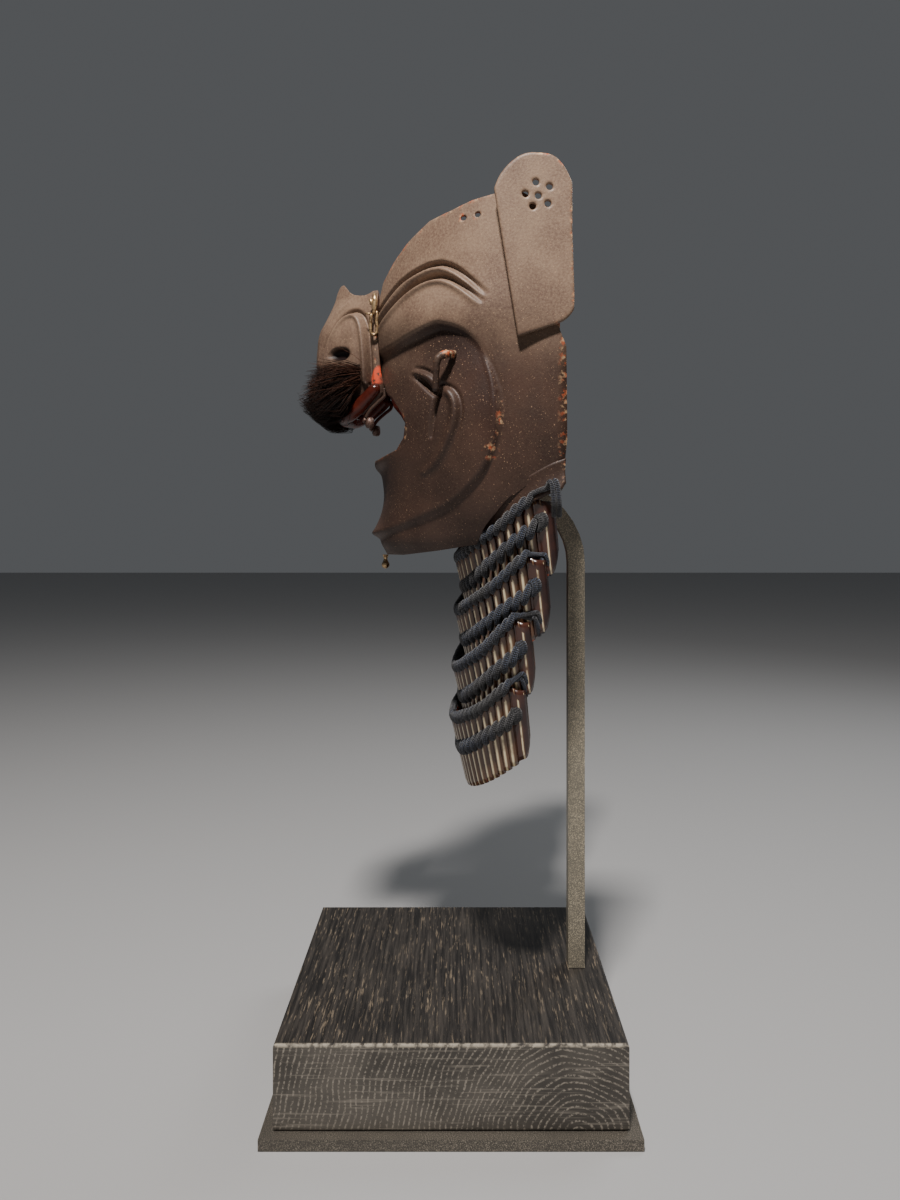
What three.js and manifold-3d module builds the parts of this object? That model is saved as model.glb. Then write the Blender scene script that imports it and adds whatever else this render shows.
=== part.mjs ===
import * as THREE from "three";
import { mergeVertices } from "three/addons/utils/BufferGeometryUtils.js";
import Module from "manifold-3d";

const wasm = await Module();
wasm.setup();

// A samurai face guard in lacquered iron, with its laced throat guard, on a plain stand.
// Millimetres, +Z up. The mask faces -Y and its left side is at +X.
// The origin is the centre of the base plate's underside.

// Stand
const plateSide = 167;
const plateThick = 5;
const blockSide = 156;
const blockHeight = 38;
const blockEdge = 1.2;
const barWidth = 8.5;
const barBack = 63.9;
const barBendRun = 50;
const barBendRise = 42;

// Face shell: its box from the chin's foot to the cheek's top and from chin to rear edge
const chinRise = 213;
const faceHeight = 165;
const faceDepth = 94;
const faceHalfWidth = 73;
const faceFront = -42.5;
const wall = 2.2;
const cheekboneRaise = 3.2;
const gap = 0.3;

// Reliefs and small parts of the face
const ridgeRadius = 1.7;
const foldRadius = 2.2;
const lipRadius = 2.4;
const cordHole = 2.6;
const earThick = 2.6;
const earStandOff = 0.35;
const earHole = 3.1;
const hookRod = 3.2;
const knobDiameter = 4.1;
const knobStem = 1.6;
const studDiameter = 5.4;
const pinDiameter = 2.6;

// Nose piece
const noseHalfWidth = 24;
const noseDepth = 34;
const noseWall = 1.8;

// Moustache
const moustacheReach = 20;
const lockRadius = 3.1;
const locksPerSide = 6;

// Throat guard
const lameHeight = 32;
const lameThick = 1.6;
const lameLean = 7.6;
const lameShift = 3.6;
const ribCount = 25;
const ribHeight = 1;
const ropeDiameter = 7.6;
const ropeDrop = 11;
const edgeCord = 3.4;
const collarThick = 1.6;

// Derived places
const blockFoot = plateThick + gap;
const blockTop = blockFoot + blockHeight;
const foot = blockTop + chinRise - gap;

const back = (share) => faceFront + share * faceDepth;
const up = (share) => foot + share * faceHeight;

// Sections of the face outside the cheek panel, from below the chin to above the cheek.
// front and width are shares of the face depth and half width, round is the section's exponent.
const shellRows = [
  { up: -0.05, front: 0.150, width: 0.60, round: 1.9 },
  { up: 0.006, front: 0.090, width: 0.70, round: 1.9 },
  { up: 0.036, front: 0.062, width: 0.76, round: 1.9 },
  { up: 0.085, front: 0.058, width: 0.83, round: 1.9 },
  { up: 0.150, front: 0.080, width: 0.90, round: 1.95 },
  { up: 0.230, front: 0.090, width: 0.95, round: 2.0 },
  { up: 0.330, front: 0.075, width: 0.985, round: 2.0 },
  { up: 0.480, front: 0.050, width: 1.0, round: 2.0 },
  { up: 0.620, front: 0.030, width: 1.005, round: 2.0 },
  { up: 0.740, front: 0.026, width: 1.005, round: 2.05 },
  { up: 0.860, front: 0.050, width: 1.0, round: 2.1 },
  { up: 1.040, front: 0.120, width: 1.0, round: 2.1 },
];

// Sections of the cheek panel and chin, which stand out from the shell
const panelRows = [
  { up: -0.05, front: 0.110, width: 0.62, round: 1.9 },
  { up: 0.006, front: 0.075, width: 0.72, round: 1.9 },
  { up: 0.030, front: 0.030, width: 0.78, round: 1.8 },
  { up: 0.055, front: 0.001, width: 0.84, round: 1.75 },
  { up: 0.085, front: 0.030, width: 0.88, round: 1.8 },
  { up: 0.120, front: 0.058, width: 0.91, round: 1.9 },
  { up: 0.170, front: 0.077, width: 0.95, round: 1.95 },
  { up: 0.230, front: 0.070, width: 0.985, round: 2.0 },
  { up: 0.300, front: 0.045, width: 1.01, round: 2.05 },
  { up: 0.400, front: 0.035, width: 1.025, round: 2.1 },
  { up: 0.500, front: 0.045, width: 1.015, round: 2.05 },
  { up: 0.580, front: 0.046, width: 0.995, round: 2.0 },
  { up: 0.680, front: 0.046, width: 0.985, round: 2.0 },
];

// Side outline of the face shell, with the open mouth and the seat of the nose piece
const shellOutline = [
  { back: -0.30, up: 0.001 },
  { back: 0.197, up: 0.001 },
  { back: 0.387, up: 0.016 },
  { back: 0.577, up: 0.034 },
  { back: 0.617, up: 0.085 },
  { back: 0.714, up: 0.155 },
  { back: 0.915, up: 0.235 },
  { back: 0.991, up: 0.264 },
  { back: 1.0, up: 0.316 },
  { back: 0.994, up: 0.567 },
  { back: 0.963, up: 0.612 },
  { back: 0.965, up: 0.842 },
  { back: 0.900, up: 0.945 },
  { back: 0.771, up: 0.99 },
  { back: 0.652, up: 0.985 },
  { back: 0.552, up: 0.975 },
  { back: 0.449, up: 0.956 },
  { back: 0.344, up: 0.940 },
  { back: 0.233, up: 0.897 },
  { back: 0.161, up: 0.857 },
  { back: 0.093, up: 0.808 },
  { back: 0.073, up: 0.765 },
  { back: 0.069, up: 0.703 },
  { back: 0.069, up: 0.630 },
  { back: 0.081, up: 0.539 },
  { back: 0.112, up: 0.482 },
  { back: 0.147, up: 0.461 },
  { back: 0.202, up: 0.408 },
  { back: 0.220, up: 0.381 },
  { back: 0.210, up: 0.339 },
  { back: 0.171, up: 0.308 },
  { back: 0.059, up: 0.286 },
  { back: -0.30, up: 0.279 },
];

// Outline of the hollow behind the face: a chin floor in front, open for the neck behind it
const hollowOutline = [
  { back: -0.40, up: 0.017 },
  { back: 0.197, up: 0.017 },
  { back: 0.387, up: 0.032 },
  { back: 0.560, up: 0.050 },
  { back: 0.600, up: -0.20 },
  { back: 1.40, up: -0.20 },
  { back: 1.40, up: 1.20 },
  { back: -0.40, up: 1.20 },
];

// Outline of the raised cheek panel, which runs along the jaw to the chin's tip
const panelOutline = [
  { back: -0.30, up: 0.604 },
  { back: 0.083, up: 0.604 },
  { back: 0.216, up: 0.622 },
  { back: 0.343, up: 0.645 },
  { back: 0.396, up: 0.647 },
  { back: 0.500, up: 0.625 },
  { back: 0.590, up: 0.579 },
  { back: 0.653, up: 0.501 },
  { back: 0.685, up: 0.435 },
  { back: 0.691, up: 0.370 },
  { back: 0.680, up: 0.327 },
  { back: 0.636, up: 0.256 },
  { back: 0.566, up: 0.199 },
  { back: 0.448, up: 0.141 },
  { back: 0.279, up: 0.096 },
  { back: 0.112, up: 0.064 },
  { back: 0.009, up: 0.048 },
  { back: -0.30, up: 0.048 },
];

// Two raised folds under the eye
const eyeRidgeUpper = [
  { back: 0.076, up: 0.725 },
  { back: 0.188, up: 0.778 },
  { back: 0.370, up: 0.813 },
  { back: 0.494, up: 0.778 },
  { back: 0.616, up: 0.711 },
];
const eyeRidgeLower = [
  { back: 0.083, up: 0.693 },
  { back: 0.199, up: 0.742 },
  { back: 0.370, up: 0.776 },
  { back: 0.494, up: 0.745 },
  { back: 0.603, up: 0.696 },
];

// Raised fold from the cheek down beside the mouth, and the deep groove before it
const cheekFold = [
  { back: 0.402, up: 0.464 },
  { back: 0.464, up: 0.429 },
  { back: 0.469, up: 0.395 },
  { back: 0.453, up: 0.353 },
  { back: 0.417, up: 0.303 },
  { back: 0.340, up: 0.250 },
];
const cheekGroove = [
  { back: 0.385, up: 0.452 },
  { back: 0.363, up: 0.391 },
  { back: 0.352, up: 0.335 },
];

// Rounded lower lip along the mouth's lower edge
const lipRows = [
  { across: 0, back: 0.040, up: 0.270 },
  { across: 0.14, back: 0.052, up: 0.276 },
  { across: 0.28, back: 0.100, up: 0.288 },
  { across: 0.40, back: 0.165, up: 0.305 },
];

// Ear plate: its outline and its holes
const earOutline = [
  { back: 0.652, up: 0.986 },
  { back: 0.729, up: 1.055 },
  { back: 0.793, up: 1.078 },
  { back: 0.859, up: 1.081 },
  { back: 0.931, up: 1.073 },
  { back: 0.995, up: 1.042 },
  { back: 1.030, up: 1.001 },
  { back: 1.020, up: 0.871 },
  { back: 1.030, up: 0.687 },
  { back: 1.005, up: 0.648 },
  { back: 0.948, up: 0.624 },
  { back: 0.764, up: 0.590 },
];
const earHoles = [
  { back: 0.859, up: 0.965 },
  { back: 0.848, up: 1.001 },
  { back: 0.912, up: 0.989 },
  { back: 0.904, up: 0.944 },
  { back: 0.833, up: 0.937 },
  { back: 0.799, up: 0.970 },
];
const cordHoles = [
  { back: 0.511, up: 0.930 },
  { back: 0.579, up: 0.934 },
];

// Nose piece, base: front is a share of the nose depth before the seat, width of its half width
const noseSeat = 0.0655;
const noseBaseRows = [
  { up: 0.418, front: 0.44, width: 0.92, round: 2.2 },
  { up: 0.470, front: 0.56, width: 1.0, round: 2.2 },
  { up: 0.545, front: 0.50, width: 1.0, round: 2.2 },
  { up: 0.650, front: 0.40, width: 0.98, round: 2.2 },
  { up: 0.740, front: 0.34, width: 0.94, round: 2.2 },
  { up: 0.788, front: 0.30, width: 0.88, round: 2.2 },
];
// Nose piece, the nose itself
const noseRows = [
  { up: 0.545, front: 0.60, width: 0.42, round: 2.0 },
  { up: 0.575, front: 0.93, width: 0.56, round: 2.0 },
  { up: 0.605, front: 1.0, width: 0.60, round: 2.0 },
  { up: 0.660, front: 0.985, width: 0.56, round: 2.0 },
  { up: 0.705, front: 0.93, width: 0.46, round: 2.0 },
  { up: 0.750, front: 0.79, width: 0.38, round: 2.0 },
  { up: 0.790, front: 0.69, width: 0.34, round: 2.0 },
  { up: 0.838, front: 0.60, width: 0.20, round: 2.0 },
];

// Plates of the throat guard: width is a share of the face's half width, the rest of its box
const lameRows = [
  { width: 0.890, frontBack: 0.504, endBack: 0.918, frontUp: -0.024, endUp: 0.159 },
  { width: 0.870, frontBack: 0.504, endBack: 0.881, frontUp: -0.188, endUp: -0.001 },
  { width: 0.820, frontBack: 0.493, endBack: 0.812, frontUp: -0.362, endUp: -0.174 },
  { width: 0.775, frontBack: 0.480, endBack: 0.790, frontUp: -0.513, endUp: -0.365 },
];

// Strip under the jaw: its upper and lower edges
const collarRows = [
  { width: 0.000, back: 0.543, up: 0.024, lowWidth: 0.000, lowBack: 0.486, lowUp: -0.015 },
  { width: 0.329, back: 0.582, up: 0.030, lowWidth: 0.342, lowBack: 0.522, lowUp: 0.004 },
  { width: 0.603, back: 0.614, up: 0.064, lowWidth: 0.630, lowBack: 0.601, lowUp: 0.044 },
  { width: 0.767, back: 0.665, up: 0.114, lowWidth: 0.795, lowBack: 0.670, lowUp: 0.070 },
  { width: 0.877, back: 0.771, up: 0.173, lowWidth: 0.918, lowBack: 0.771, lowUp: 0.115 },
  { width: 0.945, back: 0.915, up: 0.232, lowWidth: 0.986, lowBack: 0.926, lowUp: 0.176 },
  { width: 0.959, back: 0.995, up: 0.260, lowWidth: 1.000, lowBack: 1.011, lowUp: 0.194 },
];

// Solids from points

function bufferOf(points, triangles) {
  const geometry = new THREE.BufferGeometry();
  geometry.setAttribute("position", new THREE.Float32BufferAttribute(points.flatMap((p) => [p.x, p.y, p.z]), 3));
  geometry.setIndex(triangles.flat());
  return faceOut(geometry);
}

function faceOut(geometry) {
  const place = geometry.getAttribute("position");
  const index = geometry.getIndex();
  const a = new THREE.Vector3();
  const b = new THREE.Vector3();
  const c = new THREE.Vector3();
  let volume = 0;
  for (let i = 0; i < index.count; i += 3) {
    a.fromBufferAttribute(place, index.getX(i));
    b.fromBufferAttribute(place, index.getX(i + 1));
    c.fromBufferAttribute(place, index.getX(i + 2));
    volume += a.dot(b.cross(c));
  }
  if (volume < 0) {
    for (let i = 0; i < index.count; i += 3) {
      const first = index.getX(i);
      index.setX(i, index.getX(i + 2));
      index.setX(i + 2, first);
    }
  }
  return geometry;
}

// A solid through closed rings of points, with a flat fan at each end
function ringSolid(rings) {
  const count = rings[0].length;
  const points = rings.flat();
  const triangles = [];
  for (let r = 0; r + 1 < rings.length; r += 1) {
    for (let i = 0; i < count; i += 1) {
      const j = (i + 1) % count;
      const low = r * count;
      const high = low + count;
      triangles.push([low + i, low + j, high + j], [low + i, high + j, high + i]);
    }
  }
  const middle = (ring) => ring.reduce((sum, p) => sum.add(p), new THREE.Vector3()).divideScalar(ring.length);
  const startAt = points.push(middle(rings[0])) - 1;
  const endAt = points.push(middle(rings[rings.length - 1])) - 1;
  const last = (rings.length - 1) * count;
  for (let i = 0; i < count; i += 1) {
    const j = (i + 1) % count;
    triangles.push([startAt, j, i], [endAt, last + i, last + j]);
  }
  return bufferOf(points, triangles);
}

// A solid between two grids of points of the same size, an outer and an inner skin
function skinSolid(outer, inner) {
  const rows = outer.length;
  const columns = outer[0].length;
  const size = rows * columns;
  const points = [...outer.flat(), ...inner.flat()];
  const triangles = [];
  const at = (skin, r, c) => skin * size + r * columns + c;
  for (let r = 0; r + 1 < rows; r += 1) {
    for (let c = 0; c + 1 < columns; c += 1) {
      triangles.push([at(0, r, c), at(0, r, c + 1), at(0, r + 1, c + 1)]);
      triangles.push([at(0, r, c), at(0, r + 1, c + 1), at(0, r + 1, c)]);
      triangles.push([at(1, r, c), at(1, r + 1, c + 1), at(1, r, c + 1)]);
      triangles.push([at(1, r, c), at(1, r + 1, c), at(1, r + 1, c + 1)]);
    }
  }
  const rim = [];
  for (let c = 0; c < columns; c += 1) rim.push([0, c]);
  for (let r = 1; r < rows; r += 1) rim.push([r, columns - 1]);
  for (let c = columns - 2; c >= 0; c -= 1) rim.push([rows - 1, c]);
  for (let r = rows - 2; r > 0; r -= 1) rim.push([r, 0]);
  rim.forEach(([r, c], i) => {
    const [nextR, nextC] = rim[(i + 1) % rim.length];
    triangles.push([at(0, r, c), at(1, r, c), at(1, nextR, nextC)]);
    triangles.push([at(0, r, c), at(1, nextR, nextC), at(0, nextR, nextC)]);
  });
  return bufferOf(points, triangles);
}

// A bar along a line of points; its section may change in size and turn as it goes
function sweep(points, radiusAt, sides, twist = 0, flat = 1) {
  const rings = [];
  let side = null;
  points.forEach((point, i) => {
    const before = points[Math.max(i - 1, 0)];
    const after = points[Math.min(i + 1, points.length - 1)];
    const along = after.clone().sub(before).normalize();
    const guess = side ?? (Math.abs(along.z) > 0.9 ? new THREE.Vector3(0, 1, 0) : new THREE.Vector3(0, 0, 1));
    side = guess.clone().addScaledVector(along, -guess.dot(along)).normalize();
    const other = along.clone().cross(side);
    const radius = radiusAt(i / (points.length - 1));
    const ring = [];
    for (let s = 0; s < sides; s += 1) {
      const angle = (s / sides) * 2 * Math.PI + twist * i;
      const swell = flat === 1 ? 1 : Math.hypot(Math.cos(angle - twist * i), flat * Math.sin(angle - twist * i));
      ring.push(point.clone()
        .addScaledVector(side, Math.cos(angle) * radius * swell)
        .addScaledVector(other, Math.sin(angle) * radius * swell));
    }
    rings.push(ring);
  });
  return ringSolid(rings);
}

const asSolid = (geometry) => {
  const plain = geometry.clone();
  plain.deleteAttribute("normal");
  plain.deleteAttribute("uv");
  const merged = mergeVertices(plain, 1e-5);
  return new wasm.Manifold(new wasm.Mesh({
    numProp: 3,
    vertProperties: Float32Array.from(merged.getAttribute("position").array),
    triVerts: Uint32Array.from(merged.getIndex().array),
  }));
};

const asGeometry = (solid) => {
  const mesh = solid.getMesh();
  const geometry = new THREE.BufferGeometry();
  geometry.setAttribute("position", new THREE.BufferAttribute(Float32Array.from(mesh.vertProperties), 3));
  geometry.setIndex(new THREE.BufferAttribute(Uint32Array.from(mesh.triVerts), 1));
  return geometry;
};

// An outline in the side view, extruded across the mask from one X to another
function acrossSolid(rows, fromX, toX, swell = 1) {
  const middle = 0.35;
  const spread = (share) => middle + (share - middle) * swell;
  const shape = new THREE.Shape(rows.map((row) => new THREE.Vector2(back(spread(row.back)), up(spread(row.up)))));
  const geometry = new THREE.ExtrudeGeometry(shape, { depth: toX - fromX, bevelEnabled: false });
  geometry.rotateX(Math.PI / 2);
  geometry.rotateZ(Math.PI / 2);
  geometry.translate(fromX, 0, 0);
  return asSolid(geometry);
}

const mirrored = (geometry) => {
  const twin = geometry.clone();
  twin.scale(-1, 1, 1);
  return faceOut(twin);
};

// Table values between rows, on a smooth curve
function between(rows, key, share) {
  const last = rows.length - 1;
  let i = rows.findIndex((row) => row.up > share) - 1;
  if (share >= rows[last].up) i = last - 1;
  if (i < 0) i = 0;
  const t = Math.min(Math.max((share - rows[i].up) / (rows[i + 1].up - rows[i].up), 0), 1);
  const a = rows[Math.max(i - 1, 0)];
  const b = rows[i];
  const c = rows[i + 1];
  const d = rows[Math.min(i + 2, last)];
  const leave = ((c[key] - a[key]) / (c.up - a.up)) * (c.up - b.up);
  const reach = ((d[key] - b[key]) / (d.up - b.up)) * (c.up - b.up);
  const t2 = t * t;
  const t3 = t2 * t;
  return (2 * t3 - 3 * t2 + 1) * b[key] + (t3 - 2 * t2 + t) * leave
    + (-2 * t3 + 3 * t2) * c[key] + (t3 - t2) * reach;
}

const bump = (value, centre, spread) => Math.exp(-(((value - centre) / spread) ** 2));

// Extra depth of the cheekbone over the panel's upper border
const cheekbone = (backShare, upShare) => cheekboneRaise * bump(upShare, 0.665, 0.075) * bump(backShare, 0.30, 0.32);

// The hollow draws in behind the panel's upper border, which lies deeper than the shell
const panelSink = (backShare, upShare) => -1.1 * cheekboneRaise * bump(upShare, 0.60, 0.09) * bump(backShare, 0.30, 0.40);

const widest = 0.965;

// Half width of a skin at a place in the side view
function halfWidthAt(rows, backShare, upShare, grow) {
  const front = between(rows, "front", upShare);
  const width = between(rows, "width", upShare) * faceHalfWidth + grow;
  const round = between(rows, "round", upShare);
  const reach = (widest - front) * faceDepth + grow;
  const t = Math.min(Math.max(((widest - backShare) * faceDepth) / reach, 0), 1);
  return width * (1 - t ** round) ** (1 / round);
}

function faceRing(rows, upShare, grow, columns, relief) {
  const front = between(rows, "front", upShare);
  const width = between(rows, "width", upShare) * faceHalfWidth + grow;
  const round = between(rows, "round", upShare);
  const reach = (widest - front) * faceDepth + grow;
  const ring = [];
  for (let i = 0; i <= columns; i += 1) {
    const angle = (i / columns - 0.5) * Math.PI;
    const x = Math.sign(Math.sin(angle)) * Math.abs(Math.sin(angle)) ** (2 / round);
    const y = Math.abs(Math.cos(angle)) ** (2 / round);
    const backShare = widest - (y * reach) / faceDepth;
    const out = relief(backShare, upShare);
    ring.push(new THREE.Vector3(x * (width + out), back(widest) - y * (reach + out), up(upShare)));
  }
  ring.push(new THREE.Vector3(width, back(1.3), up(upShare)));
  ring.push(new THREE.Vector3(-width, back(1.3), up(upShare)));
  return ring;
}

function faceLoft(rows, grow, columns, steps, relief) {
  const low = rows[0].up;
  const high = rows[rows.length - 1].up;
  const rings = [];
  for (let i = 0; i <= steps; i += 1) {
    rings.push(faceRing(rows, low + ((high - low) * i) / steps, grow, columns, relief));
  }
  return asSolid(ringSolid(rings));
}

// Lines on the face, given by places in the side view
function smoothLine(points, count) {
  return new THREE.CatmullRomCurve3(points, false, "centripetal").getSpacedPoints(count);
}

const onPanel = (row, grow) => new THREE.Vector3(
  halfWidthAt(panelRows, row.back, row.up, grow), back(row.back), up(row.up));
const onShell = (row, grow) => new THREE.Vector3(
  halfWidthAt(shellRows, row.back, row.up, grow + cheekbone(row.back, row.up)), back(row.back), up(row.up));

const slim = (share) => 0.25 + 0.75 * Math.sin(Math.PI * Math.min(Math.max(share, 0), 1)) ** 0.7;

const none = () => 0;

// Face shell
const past = 2 * faceHalfWidth;
let shell = faceLoft(shellRows, 0, 22, 14, cheekbone)
  .subtract(acrossSolid(panelOutline, -past, past))
  .add(faceLoft(panelRows, 0, 22, 13, none).intersect(acrossSolid(panelOutline, -0.95 * past, 0.95 * past, 1.012)));
const hollow = faceLoft(shellRows, -wall, 14, 9, panelSink)
  .intersect(acrossSolid(hollowOutline, -past, past));
shell = shell.subtract(hollow);

const ridges = [];
[eyeRidgeUpper, eyeRidgeLower].forEach((rows) => {
  const line = smoothLine(rows.map((row) => onShell(row, -0.35 * ridgeRadius)), 7);
  ridges.push(sweep(line, (share) => ridgeRadius * slim(share), 5));
});
const foldLine = smoothLine(cheekFold.map((row) => onPanel(row, -0.3 * foldRadius)), 7);
ridges.push(sweep(foldLine, (share) => foldRadius * slim(share), 5));
ridges.forEach((ridge) => {
  shell = shell.add(asSolid(ridge)).add(asSolid(mirrored(ridge)));
});
const grooveLine = smoothLine(cheekGroove.map((row) => onPanel(row, 0.3)), 4);
const groove = sweep(grooveLine, (share) => 1.6 * slim(share), 6);
shell = shell.subtract(asSolid(groove)).subtract(asSolid(mirrored(groove)));

const lipHalf = lipRows.map((row) => new THREE.Vector3(row.across * faceHalfWidth, back(row.back), up(row.up)));
const lipAll = [...lipHalf.slice(1).reverse().map((p) => new THREE.Vector3(-p.x, p.y, p.z)), ...lipHalf];
const lip = sweep(smoothLine(lipAll, 12), (share) => lipRadius * (0.45 + 0.55 * Math.sin(Math.PI * share)), 6);
shell = shell.add(asSolid(lip)).intersect(acrossSolid(shellOutline, -past, past));
cordHoles.forEach((hole) => {
  const drill = new THREE.CylinderGeometry(cordHole / 2, cordHole / 2, 4 * faceHalfWidth, 8);
  drill.rotateZ(Math.PI / 2);
  drill.translate(0, back(hole.back), up(hole.up));
  shell = shell.subtract(asSolid(drill));
});

// Ear plates, standing off the shell's side
const earInner = faceHalfWidth * 1.008 + earStandOff;
let ear = acrossSolid(earOutline, earInner, earInner + earThick);
earHoles.forEach((hole) => {
  const drill = new THREE.CylinderGeometry(earHole / 2, earHole / 2, 6 * earThick, 7);
  drill.rotateZ(Math.PI / 2);
  drill.translate(earInner + earThick / 2, back(hole.back), up(hole.up));
  ear = ear.subtract(asSolid(drill));
});

// Nose piece: a curved base plate and the nose, hollow behind
const seatBack = back(noseSeat);
function noseLoft(rows, grow, columns, steps, rise) {
  const low = rows[0].up;
  const high = rows[rows.length - 1].up;
  const rings = [];
  for (let i = 0; i <= steps; i += 1) {
    const share = low + ((high - low) * i) / steps;
    const front = between(rows, "front", share) * noseDepth + grow;
    const width = between(rows, "width", share) * noseHalfWidth + grow;
    const round = between(rows, "round", share);
    const ring = [];
    for (let c = 0; c <= columns; c += 1) {
      const angle = (c / columns - 0.5) * Math.PI;
      const x = Math.sign(Math.sin(angle)) * Math.abs(Math.sin(angle)) ** (2 / round);
      const y = Math.abs(Math.cos(angle)) ** (2 / round);
      const end = i === 0 ? -grow : i === steps ? grow : 0;
      ring.push(new THREE.Vector3(x * width, seatBack - y * front, up(share) + end * rise));
    }
    rings.push(ring);
  }
  return asSolid(ringSolid(rings));
}

function noseSolid(grow) {
  let solid = noseLoft(noseBaseRows, grow, 12, 5, 1).add(noseLoft(noseRows, grow, 8, 8, 1));
  [-1, 1].forEach((side) => {
    const wing = new THREE.SphereGeometry(1, 8, 6);
    wing.scale(0.30 * noseHalfWidth + grow, 0.29 * noseDepth + grow, 0.075 * faceHeight + grow);
    wing.translate(side * 0.42 * noseHalfWidth, seatBack - 0.50 * noseDepth, up(0.655));
    solid = solid.add(asSolid(wing));
  });
  return solid;
}

const behindSeat = acrossSolid([
  { back: noseSeat, up: -0.2 }, { back: 1.2, up: -0.2 }, { back: 1.2, up: 1.3 }, { back: noseSeat, up: 1.3 },
], -100, 100);
const noseHollow = noseLoft(noseBaseRows, -noseWall, 8, 3, -1.2).add(noseLoft(noseRows, -2 * noseWall, 6, 5, 1.0));
let nose = noseSolid(0).subtract(behindSeat);
const noseBehind = noseHollow.translate([0, 0.6, 0]);
nose = nose.subtract(noseBehind);
[-1, 1].forEach((side) => {
  const nostril = new THREE.SphereGeometry(1, 6, 4);
  nostril.scale(0.12 * noseHalfWidth, 0.10 * noseDepth, 0.022 * faceHeight);
  nostril.translate(side * 0.40 * noseHalfWidth, seatBack - 0.66 * noseDepth, up(0.578));
  nose = nose.subtract(asSolid(nostril));
});

// Moustache: locks on a backing across the upper lip
const hairRoot = (share) => new THREE.Vector3(
  share * 0.86 * noseHalfWidth,
  seatBack - noseDepth * (0.66 - 0.40 * share * share),
  up(0.525 - 0.02 * share * share));
const hairLine = [];
for (let i = -4; i <= 4; i += 1) hairLine.push(hairRoot(i / 4));
let hair = asSolid(sweep(hairLine, () => 1.35 * lockRadius, 5));
for (let i = 0; i < locksPerSide; i += 1) {
  [-1, 1].forEach((side) => {
    const share = (side * (i + 0.6)) / locksPerSide;
    const root = hairRoot(share);
    const fall = 0.62 + 0.30 * ((i * 7) % 3);
    const tip = root.clone().add(new THREE.Vector3(
      side * 0.35 * moustacheReach * (i + 1) / locksPerSide, -0.80 * moustacheReach, -fall * moustacheReach * 0.75));
    const midway = root.clone().lerp(tip, 0.55).add(new THREE.Vector3(0, -0.16 * moustacheReach, 0.12 * moustacheReach));
    const lock = sweep([root, midway, tip], (t) => lockRadius * (t < 0.9 ? 1 : 0.28), 4);
    hair = hair.add(asSolid(lock));
  });
}
hair = hair.subtract(noseSolid(gap + 0.1));

// Nose pins: an upright double pin at each side of the seat, with a small bar across it
function pinSolid() {
  const x = noseHalfWidth * 1.01 + pinDiameter / 2 + gap;
  const post = new THREE.CylinderGeometry(pinDiameter / 2, pinDiameter / 2, 0.13 * faceHeight, 6);
  post.rotateX(Math.PI / 2);
  post.translate(x, seatBack - 0.55 * pinDiameter, up(0.705));
  const post2 = new THREE.CylinderGeometry(pinDiameter / 2, pinDiameter / 2, 0.09 * faceHeight, 6);
  post2.rotateX(Math.PI / 2);
  post2.translate(x, seatBack - 1.4 * pinDiameter, up(0.71));
  const bar = new THREE.BoxGeometry(pinDiameter * 0.8, pinDiameter * 3, pinDiameter * 0.5);
  bar.translate(x, seatBack - 1.6 * pinDiameter, up(0.705));
  return asSolid(post).add(asSolid(post2)).add(asSolid(bar));
}

// Studs under the ends of the upper lip
function studSolid() {
  const ball = new THREE.SphereGeometry(studDiameter / 2, 9, 7);
  ball.translate(0.80 * noseHalfWidth, seatBack - 0.10 * noseDepth, up(0.418) - studDiameter / 2 - gap);
  return ball;
}

// Cheek hooks: an arm out of the cheek and a rod hanging from it
function hookSolid() {
  const foot0 = { back: 0.455, up: 0.564 };
  const start = onPanel(foot0, gap + 0.3);
  const normal = new THREE.Vector3(0.80, -0.60, 0);
  start.addScaledVector(normal, 0.1 * hookRod);
  const elbow = start.clone().addScaledVector(normal, 2.0 * hookRod).add(new THREE.Vector3(0, 0, -0.8));
  const arm = asSolid(sweep([start, elbow], () => hookRod / 2, 8));
  const top = elbow.clone().add(new THREE.Vector3(0, 0, 0.5 * hookRod));
  const rodEnd = elbow.clone().add(new THREE.Vector3(-0.9, -0.3, -4.6 * hookRod));
  return arm.add(asSolid(sweep([top, rodEnd], () => hookRod / 2, 8)));
}

// Chin knob: a ball on a stem below the chin
function knobSolid() {
  const profile = [];
  const ballCentre = -knobStem * 2 - knobDiameter / 2;
  profile.push(new THREE.Vector2(0, 0));
  profile.push(new THREE.Vector2(knobStem, 0));
  profile.push(new THREE.Vector2(knobStem * 0.55, -knobStem * 1.4));
  for (let i = 1; i < 8; i += 1) {
    const angle = (i / 8) * Math.PI;
    if (Math.sin(angle) * knobDiameter / 2 > knobStem * 0.56 || i > 3) {
      profile.push(new THREE.Vector2(Math.sin(angle) * knobDiameter / 2, ballCentre + Math.cos(angle) * knobDiameter / 2));
    }
  }
  profile.push(new THREE.Vector2(0, ballCentre - knobDiameter / 2));
  const turned = new THREE.LatheGeometry(profile.reverse(), 10);
  turned.rotateX(Math.PI / 2);
  turned.translate(0, back(0.085), up(0.001) - gap);
  return faceOut(turned);
}

// Throat guard: ribbed plates, each leaning back below
const lameOut = (row, angle, grow, drop) => {
  const lean = lameLean * drop;
  const x = (row.width * faceHalfWidth - lean + grow) * Math.sin(angle);
  const reach = (row.endBack - row.frontBack) * faceDepth;
  const y = back(row.endBack) + lameShift * drop - (reach - lean + lameShift * drop + grow) * Math.cos(angle);
  const level = row.frontUp + (row.endUp - row.frontUp) * (1 - Math.cos(angle)) ** 0.9;
  return new THREE.Vector3(x, y, up(level) - drop * lameHeight);
};
const lameSweep = 1.5;
const ribSpan = 0.86;

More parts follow.
